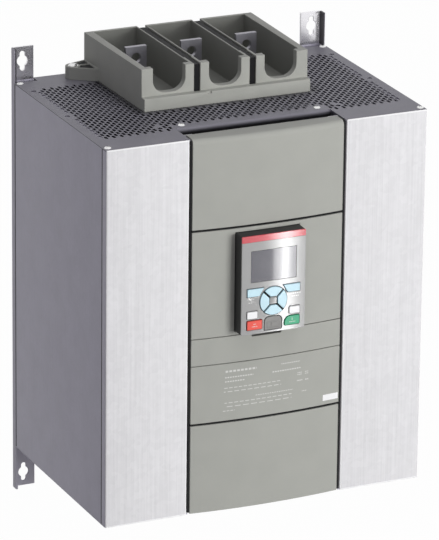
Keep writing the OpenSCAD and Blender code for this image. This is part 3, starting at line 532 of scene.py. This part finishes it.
class Dresser:
    """Gives finishes, bodies and replaced nodes to the pieces of one loaded frame."""

    def __init__(self, frame: dict) -> None:
        """Keep the frame, and build each finish once."""
        record = frame["record"]
        bodies = record["behaviour"]["bodies"]
        self.nodes: dict[str, Piece] = frame["nodes"]
        self.slots = {part["node"]: part["material_slot"] for part in record["subparts"]}
        self.body_of = {node: body for body, nodes in bodies.items() for node in nodes}
        self.materials = {name: finish.build() for name, finish in FINISHES.items()}
        printed = replace(FINISHES["cover"], name="cover_printed", marks=Ink.RATING)
        self.materials["rating"] = printed.build()

    def paint_nodes(self) -> None:
        """Give every node its slot's finish, save the nodes seen deep in gaps, which take a near-black
        painted shade.
        """
        for name, node in self.nodes.items():
            self.paint(node, self.materials["painted_shade_black" if name in PAINTED_SHADE_NODES else self.slots[name]])

    @staticmethod
    def paint(piece: Piece, material: Material) -> None:
        """Make material the piece's only one."""
        piece.data.materials.clear()
        piece.data.materials.append(material)

    def adopt(
        self, piece: Piece, body: str, slot: str, replaced: Iterable[str] = (), finish: str = ""
    ) -> None:
        """Finish a piece and fix it to its body.

        Args:
            piece: A plain mesh at the origin.
            body: The body it moves with.
            slot: The record's material slot.
            replaced: The nodes that it stands for.
            finish: Another finish of the same slot.
        """
        self.paint(piece, self.materials[finish or slot])
        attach(piece, body)
        if replaced:
            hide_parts(*replaced)
        LOG.info("%s rides on %s: %d faces", piece.name, body, len(piece.data.polygons))

    def soften(
        self, name: str, width: float, finish: str = "", brow: Callable[[Vector], bool] | None = None
    ) -> None:
        """Replace a node by a copy of it with rounded edges.

        Args:
            name: The node.
            width: Width of the rounding, in millimetres.
            finish: Another finish of the same slot.
            brow: Picks the corners of edges that get a wide rounding first.
        """
        mesh = merged_copy(self.nodes[name].data)
        if brow:
            round_wide(mesh, brow)
        piece = new_piece("soft_" + name, mesh)
        bevel = piece.modifiers.new("rounding", "BEVEL")
        bevel.width = width * MM
        bevel.segments = 2
        bevel.limit_method = "ANGLE"
        bevel.angle_limit = ROUNDED_ANGLE
        bevel.use_clamp_overlap = False
        bevel.harden_normals = True
        make_plain(piece)
        self.adopt(piece, self.body_of[name], self.slots[name], [name], finish)

    def soften_all(self, rows: Iterable[Rounding], finish: str = "") -> None:
        """Round the edges of several nodes, each row by its own width."""
        for width, names in rows:
            for name in names:
                self.soften(name, width, finish)


def new_piece(name: str, mesh: Mesh) -> Piece:
    """Return a linked object at the origin."""
    piece = bpy.data.objects.new(name, mesh)
    bpy.context.scene.collection.objects.link(piece)
    return piece


def smooth(mesh: Mesh) -> None:
    """Shade a mesh smooth, save over its sharp edges."""
    mesh.shade_smooth()
    mesh.set_sharp_from_angle(angle=SHARP_ANGLE)


def merged_copy(source: Mesh) -> Mesh:
    """Return a copy of a node's mesh with its loose triangles joined into whole faces."""
    shell = bmesh.new()
    shell.from_mesh(source)
    bmesh.ops.remove_doubles(shell, verts=shell.verts, dist=WELD)
    bmesh.ops.dissolve_limit(shell, angle_limit=FLAT_ANGLE, verts=shell.verts, edges=shell.edges)
    mesh = bpy.data.meshes.new(source.name + "_copy")
    shell.to_mesh(mesh)
    shell.free()
    smooth(mesh)
    return mesh


def round_wide(mesh: Mesh, picks: Callable[[Vector], bool]) -> None:
    """Give a wide rounding to the edges whose two ends are both picked."""
    rounding = {"offset": 7.0 * MM, "segments": 6, "profile": 0.5}
    shell = bmesh.new()
    shell.from_mesh(mesh)
    edges = [edge for edge in shell.edges if all(picks(corner.co) for corner in edge.verts)]
    bmesh.ops.bevel(shell, geom=edges, affect="EDGES", clamp_overlap=False, **rounding)
    shell.to_mesh(mesh)
    shell.free()


def make_plain(piece: Piece) -> None:
    """Replace the piece's mesh by what its modifiers make, and remove them."""
    evaluated = piece.evaluated_get(bpy.context.evaluated_depsgraph_get())
    mesh = bpy.data.meshes.new_from_object(evaluated)
    piece.modifiers.clear()
    piece.data = mesh


def rectangle(low: Point, high: Point) -> list[Point]:
    """Return the corners of a rectangle."""
    return [low, (high[0], low[1]), high, (low[0], high[1])]


def circle(middle: Point, radius: float) -> list[Point]:
    """Return the corners of a round opening."""
    steps = 16
    turns = [2 * math.pi * k / steps for k in range(steps)]
    return [(middle[0] + radius * math.cos(turn), middle[1] + radius * math.sin(turn)) for turn in turns]


def mirrored(right: Sequence[Point]) -> list[Point]:
    """Return a whole outline from its right half."""
    return [*right, *((-x, y) for x, y in reversed(right))]


def ring(start: int, count: int) -> list[tuple[int, int]]:
    """Return the edges of a closed ring of points."""
    return [(start + k, start + (k + 1) % count) for k in range(count)]


def upright(outline: Sequence[Point], low: float, high: float) -> Rings:
    """Return the two ends of a prism that stands on an outline."""
    return [(x, y, low) for x, y in outline], [(x, y, high) for x, y in outline]


def prisms(name: str, ends: Iterable[Rings]) -> Mesh:
    """Return a mesh of prisms, each from its two ends."""
    spots: list[Spot] = []
    faces: list[tuple[int, ...]] = []
    for first, last in ends:
        start, count = len(spots), len(first)
        spots += [*first, *last]
        faces += [(a, b, b + count, a + count) for a, b in ring(start, count)]
        faces += [tuple(range(start, start + count)), tuple(range(start + count, start + 2 * count))]
    return mesh_from(name, spots, (), faces)


def mesh_from(name: str, spots: Sequence[Spot], edges: Sequence = (), faces: Sequence = ()) -> Mesh:
    """Return a mesh from lists in millimetres, with normals outwards where it has faces."""
    mesh = bpy.data.meshes.new(name)
    mesh.from_pydata([tuple(part * MM for part in spot) for spot in spots], edges, faces)
    if faces:
        shell = bmesh.new()
        shell.from_mesh(mesh)
        bmesh.ops.recalc_face_normals(shell, faces=shell.faces)
        shell.to_mesh(mesh)
        shell.free()
    return mesh


class Socket(Enum):
    """Kinds of input that a geometry tree may have."""

    NUMBER = "NodeSocketFloat"
    WHOLE = "NodeSocketInt"
    FINISH = "NodeSocketMaterial"
    SHAPE = "NodeSocketGeometry"


class Pattern:
    """A geometry tree with named inputs, run on a piece and then made plain."""

    def __init__(self, name: str, numbers: Sequence[str], wholes: Sequence[str] = ()) -> None:
        """Make the tree and its sockets.

        Args:
            name: The tree's name.
            numbers: Its inputs that are sizes.
            wholes: Its inputs that are counts.
        """
        self.tree = bpy.data.node_groups.new(name, "GeometryNodeTree")
        self.graph = Graph(self.tree)
        self.names: dict[str, str] = {}
        kinds = {"Shape": Socket.SHAPE, **dict.fromkeys(numbers, Socket.NUMBER)}
        kinds |= {**dict.fromkeys(wholes, Socket.WHOLE), "Finish": Socket.FINISH}
        for label, kind in kinds.items():
            item = self.tree.interface.new_socket(label, in_out="INPUT", socket_type=kind.value)
            self.names[label] = item.identifier
        self.tree.interface.new_socket("Shape", in_out="OUTPUT", socket_type=Socket.SHAPE.value)
        start = self.tree.nodes.new("NodeGroupInput")
        self.given = {label: Value(self.graph, start.outputs[label]) for label in self.names}

    def close(self, shape: Value) -> None:
        """End the tree in realised geometry with its finish."""
        real = self.graph.add("GeometryNodeRealizeInstances", {0: shape})
        done = self.graph.add("GeometryNodeSetMaterial", {0: real, "Material": self.given["Finish"]})
        self.graph.add("NodeGroupOutput", {0: done})

    def run(self, piece: Piece, values: dict[str, object]) -> None:
        """Set the inputs by identifier, and turn the result into the piece's plain mesh."""
        modifier = piece.modifiers.new(self.tree.name, "NODES")
        modifier.node_group = self.tree
        for label, setting in values.items():
            modifier[self.names[label]] = setting
        make_plain(piece)


@dataclass
class Housing:
    """Folded steel housing: rails, panels, perforated top plate and screws. Sizes in millimetres."""

    half_width: float = 217.5
    half_height: float = 247.5
    front: float = -310.0
    sheet: float = 1.5
    thin: float = 0.5
    rail_width: float = 30.5
    rail_flange: float = 14.0
    rail_gap: float = 0.5
    open_half: float = 106.5
    notch_gap: float = 1.0
    notch_back: float = -265.0
    lip_height: float = 8.5
    lip_bend: float = 4.0
    lip_start: float = 4.5
    phases: tuple[float, ...] = (-76.5, 0.0, 76.5)
    bar_opening: Spot = (-72.0, 35.0, 14.0)
    screw_spots: tuple[Point, ...] = ((212.0, -19.0), (212.0, -301.0), (92.5, -252.0))
    plain_spots: tuple[Point, ...] = ((208.0, -54.0), (208.0, -165.0), (121.5, -253.0))
    ear_spot: Point = (140.0, -20.0)
    ear_rise: float = 16.5
    screw_bore: float = 4.6
    plain_bore: float = 6.5
    plate_screw: Point = (9.0, 5.0)
    shroud_screw: Point = (11.0, 20.5)
    rim: float = 3.0
    seam: float = 2.0
    seam_spots: tuple[float, ...] = (-297.0, -14.8)
    slot_size: Point = (3.8, 9.6)
    slot_pitch: Point = (5.2, 12.0)
    field_half: float = 203.0
    field_back: float = -46.0
    field_front: float = -268.0
    shroud_zone: Point = (116.5, -190.0)
    notch_zone: Point = (109.0, -252.0)
    softened: tuple[Rounding, ...] = (
        (0.7, ("left_front_panel", "right_front_panel")),
        (0.4, ("left_side_panel", "right_side_panel")),
    )
    rails: Rounding = (0.8, ("left_rail", "right_rail"))

    def build(self, dresser: Dresser) -> None:
        """Make and dress every piece of the housing."""
        dresser.soften_all(self.softened)
        dresser.soften_all([self.rails], "rail_steel")
        self._seams(dresser)
        self._top_plate(dresser)
        self._screws(dresser)

    def _seams(self, dresser: Dresser) -> None:
        """Lay the dark joint lines on the sides, behind the front folds and beside the rails: real seams,
        drawn as wide near-black strips of painted shadow.
        """
        inset, proud = 0.3, 0.1
        top = self.half_height - self.sheet
        strips = []
        for side, y in product(SIDES, self.seam_spots):
            left, right = sorted((side * (self.half_width - inset), side * (self.half_width + proud)))
            outline = rectangle((left, y - self.seam / 2), (right, y + self.seam / 2))
            strips.append(upright(outline, -top, top))
        piece = new_piece("panel_seam_shadows", prisms("panel_seam_shadows", strips))
        dresser.adopt(piece, "housing", "black_plastic", (), "painted_shade_black")

    def _edge(self) -> list[Point]:
        """Return the right half of the plate's outline, from the notch round to the rail's tab."""
        tab = self.half_width - self.rail_width - self.rail_gap
        notch = self.open_half - self.notch_gap
        edge = self.front + self.sheet
        return [
            (notch, self.notch_back + self.lip_start),
            (notch, edge),
            (self.half_width, edge),
            (self.half_width, -self.rail_flange),
            (tab, -self.rail_flange),
            (tab, 0.0),
        ]

    def _rim_mesh(self) -> Mesh:
        """Return the folded rim under the thin plate's outer edge, a closed ring."""
        outer = self._edge()
        inwards = ((1, 1), (1, 1), (-1, 1), (-1, -1), (-1, -1), (-1, -1))
        inner = [(x + sx * self.rim, y + sy * self.rim) for (x, y), (sx, sy) in zip(outer, inwards)]
        high, low = self.half_height - self.thin, self.half_height - self.sheet
        corners = ((outer, high), (inner, high), (inner, low), (outer, low))
        spots = [(x, y, z) for half, z in corners for x, y in mirrored(half)]
        count = 2 * len(outer)
        sides = [(base, (base + count) % len(spots)) for base in range(0, len(spots), count)]
        faces = [
            (base + a, base + b, after + b, after + a) for base, after in sides for a, b in ring(0, count)
        ]
        return mesh_from("rim", spots, (), faces)

    def _loops(self) -> list[list[Point]]:
        """Return the plate's outline, and the openings for bars and screws."""
        middle, width, depth = self.bar_opening
        low, high = middle - depth / 2, middle + depth / 2
        loops = [mirrored(self._edge())]
        loops += [rectangle((x - width / 2, low), (x + width / 2, high)) for x in self.phases]
        bores = [(spot, self.screw_bore) for spot in (*self.screw_spots, self.ear_spot)]
        bores += [(spot, self.plain_bore) for spot in self.plain_spots]
        loops += [circle((side * x, y), bore / 2) for ((x, y), bore), side in product(bores, SIDES)]
        return loops

    def _top_plate(self, dresser: Dresser) -> None:
        """Make the perforated top plate with its rim and its rolled front lip."""
        spots: list[Spot] = []
        edges: list[tuple[int, int]] = []
        for loop in self._loops():
            edges += ring(len(spots), len(loop))
            spots += [(x, y, 0.0) for x, y in loop]
        plate = new_piece("perforated_top_plate", mesh_from("plate_outline", spots, edges))
        values = {
            "Slot Width": self.slot_size[0] * MM,
            "Slot Length": self.slot_size[1] * MM,
            "Pitch Across": self.slot_pitch[0] * MM,
            "Pitch Along": self.slot_pitch[1] * MM,
            "Columns": int(2 * self.field_half / self.slot_pitch[0]) + 1,
            "Rows": int((self.field_back - self.field_front) / self.slot_pitch[1] * 2) + 1,
            "Thickness": self.thin * MM,
            "Level": (self.half_height - self.thin) * MM,
            "Finish": dresser.materials["plate_steel_painted_dark"],
        }
        self._perforation().run(plate, values)
        # The plate, rim and lip take the plate finish: a painted dark reflection with painted shade.
        dresser.adopt(plate, "housing", "steel", ["top_panel"], "plate_steel_painted_dark")
        rim = new_piece("top_plate_rim", self._rim_mesh())
        dresser.adopt(rim, "housing", "steel", (), "plate_steel_painted_dark")
        lip = new_piece("top_plate_lip", self._lip_mesh())
        dresser.adopt(lip, "housing", "steel", (), "plate_steel_painted_dark")

    def _lip_mesh(self) -> Mesh:
        """Return the rolled lip behind the covers, a bent strip of sheet."""
        bend, level, steps = self.lip_bend, self.half_height, 6
        outer = [(self.notch_back + self.lip_start, level)]
        inner = [(self.notch_back + self.lip_start, level - self.sheet)]
        for k in range(steps + 1):
            turn = math.pi / 2 * k / steps
            for row, radius in ((outer, bend), (inner, bend - self.sheet)):
                y = self.notch_back + bend - radius * math.sin(turn)
                row.append((y, level - bend + radius * math.cos(turn)))
        outer.append((self.notch_back, level - self.lip_height))
        inner.append((self.notch_back + self.sheet, level - self.lip_height))
        half = self.open_half - self.notch_gap
        left, right = ([(x, y, z) for y, z in outer + inner[::-1]] for x in (-half, half))
        mesh = prisms("lip", [(left, right)])
        smooth(mesh)
        return mesh

    def _perforation(self) -> Pattern:
        """Return the tree that fills an outline and punches staggered slots in its field."""
        sizes = ("Slot Width", "Slot Length", "Pitch Across", "Pitch Along", "Thickness", "Level")
        pattern = Pattern("perforation", sizes, ("Columns", "Rows"))
        graph, given = pattern.graph, pattern.given
        width, columns = given["Slot Width"], given["Columns"]
        index = graph.add("GeometryNodeInputIndex")
        column = index % columns
        row = (index / columns).floor()
        x = column * given["Pitch Across"] - self.field_half * MM
        stagger = (column % 2.0) * 0.5
        y = self.field_back * MM - (row + 0.5 + stagger) * given["Pitch Along"]
        spread = {"Count": columns * given["Rows"], "Position": graph.vector(x, y)}
        points = graph.add("GeometryNodePoints", spread)
        unwanted = {0: points, "Selection": self._outside(graph, given)}
        kept = graph.add("GeometryNodeDeleteGeometry", unwanted, domain="POINT")
        sides = {0: width, 1: given["Slot Length"]}
        outline = graph.add("GeometryNodeCurvePrimitiveQuadrilateral", sides)
        corner_share, corner_steps = 0.45, 2
        corners = {0: outline, "Count": corner_steps, "Radius": width * corner_share}
        rounded = graph.add("GeometryNodeFilletCurve", corners, mode="POLY")
        slots = graph.add("GeometryNodeInstanceOnPoints", {"Points": kept, "Instance": rounded})
        real = graph.add("GeometryNodeRealizeInstances", {0: slots})
        loops = graph.add("GeometryNodeMeshToCurve", {0: given["Shape"]})
        joined = graph.add("GeometryNodeJoinGeometry", {0: [loops, real]})
        filled = graph.add("GeometryNodeFillCurve", {0: joined}, mode="TRIANGLES")
        rise = {0: filled, "Offset Scale": given["Thickness"], "Individual": False}
        raised = graph.add("GeometryNodeExtrudeMesh", rise)
        under = graph.add("GeometryNodeFlipFaces", {0: filled})
        plate = graph.add("GeometryNodeJoinGeometry", {0: [raised, under]})
        welded = graph.add("GeometryNodeMergeByDistance", {0: plate, "Distance": WELD})
        lift = graph.vector(z=given["Level"])
        pattern.close(graph.add("GeometryNodeTransform", {0: welded, "Translation": lift}))
        return pattern

    def _outside(self, graph: Graph, given: dict[str, Value]) -> Value:
        """Return 1 for slots outside the field, or too near a screw."""
        across, along, _ = graph.split(graph.add("GeometryNodeInputPosition"))
        width = abs(across)
        half_slot = given["Slot Length"] * 0.5
        out = (along - half_slot < self.field_front * MM).most(width > self.field_half * MM)
        shroud = (width < self.shroud_zone[0] * MM) * (along + half_slot > self.shroud_zone[1] * MM)
        notch = (width < self.notch_zone[0] * MM) * (along - half_slot < self.notch_zone[1] * MM)
        out = out.most(shroud).most(notch)
        reach_across, reach_along = 6.3 * MM, 9.0 * MM
        for x, y in (*self.plain_spots, *self.screw_spots):
            out = out.most((abs(width - x * MM) < reach_across) * (abs(along - y * MM) < reach_along))
        return out > 0.5

    def _screws(self, dresser: Dresser) -> None:
        """Make the cross-recessed heads of the plate and shroud screws."""
        pattern = self._screw_pattern()
        jobs = (
            ("plate_screw_heads", self.screw_spots, 0.0, self.plate_screw, "panel_screws"),
            ("shroud_screw_heads", (self.ear_spot,), self.ear_rise, self.shroud_screw, "shroud_screws"),
        )
        for name, places, rise, (head, shank), node in jobs:
            level = self.half_height + rise
            spots = [(side * x, y, end * level) for (x, y), side, end in product(places, SIDES, SIDES)]
            piece = new_piece(name, mesh_from(name, spots))
            pattern.run(piece, {
                "Head Radius": head / 2 * MM,
                "Shank Length": shank * MM,
                "Finish": dresser.materials["bright_metal"],
            })
            dresser.adopt(piece, "housing", "bright_metal", [node])

    def _screw_pattern(self) -> Pattern:
        """Return the tree that stands a domed screw with a cross recess on every point."""
        pattern = Pattern("screws", ("Head Radius", "Shank Length"))
        graph, given = pattern.graph, pattern.given
        radius, length = given["Head Radius"], given["Shank Length"]
        dome_share, shank_share = 0.55, 0.44
        cross, cross_depth, cross_level = (1.1, 0.22), 0.5, 0.5
        turn_by_level = 40.0
        ball = graph.add("GeometryNodeMeshUVSphere", {"Segments": 20, "Rings": 11, "Radius": radius})
        flatter = graph.vector(1.0, 1.0, dome_share)
        dome = graph.add("GeometryNodeTransform", {0: ball, "Scale": flatter})
        under_wide, under_deep = 3.0, 2.0
        under = (radius * under_wide, radius * under_wide, radius * under_deep)
        cuts = [self._block(graph, under, radius * (-under_deep / 2))]
        for wide, deep in (cross, cross[::-1]):
            size = (radius * wide, radius * deep, radius * cross_depth)
            cuts.append(self._block(graph, size, radius * cross_level))
        cutting = {"Mesh 1": dome, "Mesh 2": cuts, "Self Intersection": True}
        head = graph.add("GeometryNodeMeshBoolean", cutting, operation="DIFFERENCE", solver="EXACT")
        rod = {"Vertices": 12, "Radius": radius * shank_share, "Depth": length}
        shank = graph.add("GeometryNodeMeshCylinder", rod)
        drop = graph.vector(z=length * -0.5)
        sunk = graph.add("GeometryNodeTransform", {0: shank, "Translation": drop})
        screw = graph.add("GeometryNodeJoinGeometry", {0: [head, sunk]})
        level = graph.split(graph.add("GeometryNodeInputPosition"))[2]
        turn = graph.vector((level < 0.0) * math.pi, 0.0, level * turn_by_level)
        points = graph.add("GeometryNodeMeshToPoints", {0: given["Shape"]})
        standing = {"Points": points, "Instance": screw, "Rotation": turn}
        pattern.close(graph.add("GeometryNodeInstanceOnPoints", standing))
        return pattern

    @staticmethod
    def _block(graph: Graph, size: tuple[Value, Value, Value], level: Value) -> Value:
        """Return a box of that size whose middle is at that level."""
        box = graph.add("GeometryNodeMeshCube", {"Size": graph.vector(*size)})
        return graph.add("GeometryNodeTransform", {0: box, "Translation": graph.vector(z=level)})


@dataclass
class Terminals:
    """Moulded terminal shrouds with their ears, and the flat bars in them. Sizes in millimetres."""

    softened: tuple[Rounding, ...] = (
        (0.7, ("top_shroud", "bottom_shroud")),
        (0.5, ("line_bar_1", "line_bar_2", "line_bar_3", "load_bar_1", "load_bar_2", "load_bar_3")),
    )
    pocket_floor: float = 251.2
    pocket_top: float = 262.6
    rib_top: float = 263.4
    back_pocket: tuple[Point, ...] = (
        (118.3, -6.5), (130.0, -10.8), (134.0, -12.4), (131.3, -15.5), (130.4, -18.6), (118.3, -18.6),
    )
    front_pocket: tuple[Point, ...] = (
        (118.3, -21.4), (130.4, -21.4), (131.3, -24.5), (134.2, -28.2),
        (134.0, -32.0), (126.0, -37.5), (118.3, -42.6),
    )
    rib: tuple[Point, ...] = ((117.6, -18.6), (130.8, -18.6), (130.8, -21.4), (117.6, -21.4))

    def build(self, dresser: Dresser) -> None:
        """Round the edges of every moulding and bar, fill the ear pockets with near-black painted shade, and
        divide them with ribs.
        """
        dresser.soften_all(self.softened)
        pockets = (self.back_pocket, self.front_pocket)
        # Near-black prisms stand in the pockets as painted shade; the ribs are real moulding.
        self._fill_ears(dresser, "ear_pocket_shade", pockets, self.pocket_top, "painted_shade_black")
        self._fill_ears(dresser, "ear_pocket_ribs", (self.rib,), self.rib_top, "shroud")

    def _fill_ears(
        self, dresser: Dresser, name: str, outlines: Sequence[Sequence[Point]], top: float, finish: str
    ) -> None:
        """Make prisms that stand in the pockets of all four ears.

        Args:
            dresser: Finishes the piece.
            name: The new piece.
            outlines: Outlines in the right ear at the top.
            top: Height of the prisms' tops.
            finish: Their finish.
        """
        fills = [
            upright([(side * x, y) for x, y in outline], end * self.pocket_floor, end * top)
            for outline, side, end in product(outlines, SIDES, SIDES)
        ]
        dresser.adopt(new_piece(name, prisms(name, fills)), "housing", "shroud", (), finish)


@dataclass
class Covers:
    """Five bowed front covers and the blank sticker. Sizes in millimetres."""

    steel_front: float = -310.0
    half_height: float = 247.0
    sticker: tuple[float, float, float, float] = (79.0, -121.0, 101.0, -113.0)
    sticker_stand: float = 0.25
    rounding: float = 0.6
    softened: tuple[Rounding, ...] = ((0.6, ("control_cover", "hatch_cover")), (0.9, ("lower_cover",)))

    def build(self, dresser: Dresser) -> None:
        """Round the covers, print the rating cover and stick the blank label on."""
        dresser.soften_all(self.softened)
        dresser.soften("rating_cover", self.rounding, "rating")
        dresser.soften("upper_cover", self.rounding, brow=self._on_brow)
        self._sticker(dresser)

    def _on_brow(self, corner: Vector) -> bool:
        """Say whether a corner is on the outer front edge at the very top."""
        slack = 0.1
        return corner.z > (self.half_height - slack) * MM and corner.y < (self.steel_front + slack) * MM

    def front_at(self, x: float) -> float:
        """Return the bowed face's Y at one X, from the rating cover's box."""
        low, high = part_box("rating_cover")
        front = low.y / MM
        half = high.x / MM
        bow = self.steel_front - front
        radius = (half**2 + bow**2) / (2 * bow)
        return front + radius - math.sqrt(radius**2 - x * x)

    def _sticker(self, dresser: Dresser) -> None:
        """Make the blank white sticker that follows the bow."""
        left, low, right, high = self.sticker
        steps = 8
        places = [left + (right - left) * k / steps for k in range(steps + 1)]
        outline = [(x, self.front_at(x) - self.sticker_stand) for x in places]
        outline += [(x, self.front_at(x) + self.sticker_stand) for x in reversed(places)]
        piece = new_piece("blank_sticker", prisms("sticker", [upright(outline, low, high)]))
        dresser.adopt(piece, "housing", "white_key")


@dataclass
class Keypad:
    """Detachable keypad: housing, face, band, keys and the cap of its socket. Sizes in millimetres."""

    softened: tuple[Rounding, ...] = (
        (0.6, ("keypad_housing",)),
        (0.3, ("keypad_face",)),
        (0.2, ("keypad_band",)),
        (0.5, ("usb_cover", "soft_key_left", "soft_key_right")),
        (0.5, ("cursor_up", "cursor_right", "cursor_down", "cursor_left", "info_key", "local_key")),
        (0.6, ("stop_key", "start_key")),
    )
    pad_size: Point = (8.5, 5.0)
    pad_rise: float = 0.7
    pad_sunk: float = 0.5
    pad_shift: float = 1.2

    def build(self, dresser: Dresser) -> None:
        """Round the edges of the keypad's mouldings, and add the grip pad on the socket's cap."""
        dresser.soften_all(self.softened)
        self._grip_pad(dresser)

    def _grip_pad(self, dresser: Dresser) -> None:
        """Make the raised pad on the cap over the socket."""
        low, high = (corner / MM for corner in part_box("usb_cover"))
        middle = (low + high) / 2
        width, height = self.pad_size
        x, z = middle.x + self.pad_shift, middle.z - self.pad_shift
        outline = rectangle((x - width / 2, low.y - self.pad_rise), (x + width / 2, low.y + self.pad_sunk))
        ends = upright(outline, z - height / 2, z + height / 2)
        pad = new_piece("cap_grip_pad", prisms("cap_grip_pad", [ends]))
        dresser.adopt(pad, dresser.body_of["usb_cover"], "grey_rubber")


@dataclass(frozen=True)
class Lamp:
    """An area lamp that the camera does not see, in metres and watts."""

    name: str
    place: Spot
    target: Spot
    size: Point
    power: float
    diffuse: bool = True
    glossy: bool = True

    def build(self) -> None:
        """Add the lamp to the scene."""
        data = bpy.data.lights.new(self.name, "AREA")
        data.shape = "RECTANGLE"
        data.size, data.size_y = self.size
        data.energy = self.power
        lamp = bpy.data.objects.new(self.name, data)
        lamp.location = self.place
        lamp.rotation_euler = (Vector(self.target) - Vector(self.place)).to_track_quat("-Z", "Y").to_euler()
        lamp.visible_camera = False
        lamp.visible_diffuse = self.diffuse
        lamp.visible_glossy = self.glossy
        bpy.context.scene.collection.objects.link(lamp)


KEYPAD_MIDDLE = (-0.0022, -0.334, 0.0562)
LAMPS = (
    Lamp("key", (1.9, -4.6, 0.6), (0.0, -0.25, 0.0), (1.9, 1.9), 162.0, glossy=False),
    Lamp("overhead", (0.3, -1.3, 2.25), (0.0, -0.25, 0.2), (1.2, 1.2), 10.0, glossy=False),
    Lamp("panel", (0.3416, -1.02, -0.205), KEYPAD_MIDDLE, (0.036, 0.3), 0.17, diffuse=False),
    Lamp("wide_strip", (0.3391, -1.018, -0.205), KEYPAD_MIDDLE, (0.024, 0.3), 0.057, diffuse=False),
    Lamp("middle_strip", (0.3384, -1.016, -0.205), KEYPAD_MIDDLE, (0.015, 0.3), 0.047, diffuse=False),
    Lamp("strip", (0.3377, -1.014, -0.205), KEYPAD_MIDDLE, (0.008, 0.3), 0.05, diffuse=False),
)


@dataclass
class Studio:
    """Camera at the photograph's angle, pale floor and soft light. The floor's sizes are in millimetres."""

    image: tuple[int, int] = (439, 540)
    focal_pixels: float = 4717.03
    sensor: float = 36.0
    clip_end: float = 100.0
    eye: Spot = (-2.3519, -5.3010, 2.0370)
    azimuth: float = -24.6167
    elevation: float = 19.6796
    roll: float = 0.6712
    floor_level: float = -308.5
    floor_half: float = 9000.0
    floor_colour: Colour = (0.45, 0.45, 0.45)
    white: Colour = (1.0, 1.0, 1.0)
    white_share: float = 0.985
    ambient: Colour = (0.235, 0.232, 0.252)

    def build(self) -> None:
        """Set up the view, the floor, the world and the lamps."""
        bpy.context.scene.view_settings.view_transform = "Standard"
        self._camera()
        self._floor()
        self._world()
        for lamp in LAMPS:
            lamp.build()

    def _camera(self) -> None:
        """Create the camera."""
        turn, rise, roll = (math.radians(a) for a in (self.azimuth, self.elevation, self.roll))
        back = Vector((math.sin(turn) * math.cos(rise), -math.cos(turn) * math.cos(rise), math.sin(rise)))
        right = Vector((math.cos(turn), math.sin(turn), 0.0))
        up = back.cross(right)
        rolled_right = right * math.cos(roll) + up * math.sin(roll)
        rolled_up = up * math.cos(roll) - right * math.sin(roll)
        lens = bpy.data.cameras.new("camera")
        lens.sensor_width = self.sensor
        lens.lens = self.focal_pixels * self.sensor / max(self.image)
        lens.clip_end = self.clip_end
        camera = bpy.data.objects.new("camera", lens)
        axes = Matrix((rolled_right, rolled_up, back)).transposed().to_4x4()
        camera.matrix_world = Matrix.Translation(self.eye) @ axes
        bpy.context.scene.collection.objects.link(camera)
        bpy.context.scene.camera = camera

    def _floor(self) -> None:
        """Lay the pale floor, white where it is seen, with a faint shadow kept, and clear from below."""
        half = self.floor_half
        corners = [(x, y, self.floor_level) for x, y in rectangle((-half, -half), (half, half))]
        floor = new_piece("floor", mesh_from("floor", corners, (), [(0, 1, 2, 3)]))
        material = bpy.data.materials.new("floor")
        material.use_nodes = True
        graph = Graph(material.node_tree)
        seen = self._seen(graph) * self.white_share
        lit = graph.add("ShaderNodeBsdfDiffuse", {"Color": scaled(self.floor_colour)})
        white = graph.add("ShaderNodeEmission", {"Color": scaled(self.white), "Strength": 1.0})
        above = graph.add("ShaderNodeMixShader", {0: seen, 1: lit, 2: white})
        below = graph.add("ShaderNodeBsdfTransparent")
        behind = graph.add("ShaderNodeNewGeometry", None, "Backfacing")
        mixed = graph.add("ShaderNodeMixShader", {0: behind, 1: above, 2: below})
        graph.add("ShaderNodeOutputMaterial", {"Surface": mixed})
        Dresser.paint(floor, material)

    @staticmethod
    def _seen(graph: Graph) -> Value:
        """Return 1 for rays from the camera, a reflection or glass."""
        camera = graph.add("ShaderNodeLightPath", None, "Is Camera Ray")
        node = camera.socket.node
        glossy = Value(graph, node.outputs["Is Glossy Ray"])
        through = Value(graph, node.outputs["Is Transmission Ray"])
        return camera.most(glossy).most(through)

    def _world(self) -> None:
        """Give the room an even dim light, white where it is seen."""
        world = bpy.data.worlds.new("room")
        world.use_nodes = True
        bpy.context.scene.world = world
        graph = Graph(world.node_tree)
        colour = graph.blend(self._seen(graph), scaled(self.ambient), scaled(self.white))
        room = graph.add("ShaderNodeBackground", {"Color": colour, "Strength": 1.0})
        graph.add("ShaderNodeOutputWorld", {"Surface": room})


def main() -> None:
    """Load the frame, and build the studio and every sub-assembly."""
    logging.basicConfig(level=logging.INFO, format="%(message)s")
    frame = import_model()
    Studio().build()
    dresser = Dresser(frame)
    dresser.paint_nodes()
    for assembly in (Housing(), Terminals(), Covers(), Keypad()):
        assembly.build(dresser)


if __name__ == "__main__":
    main()
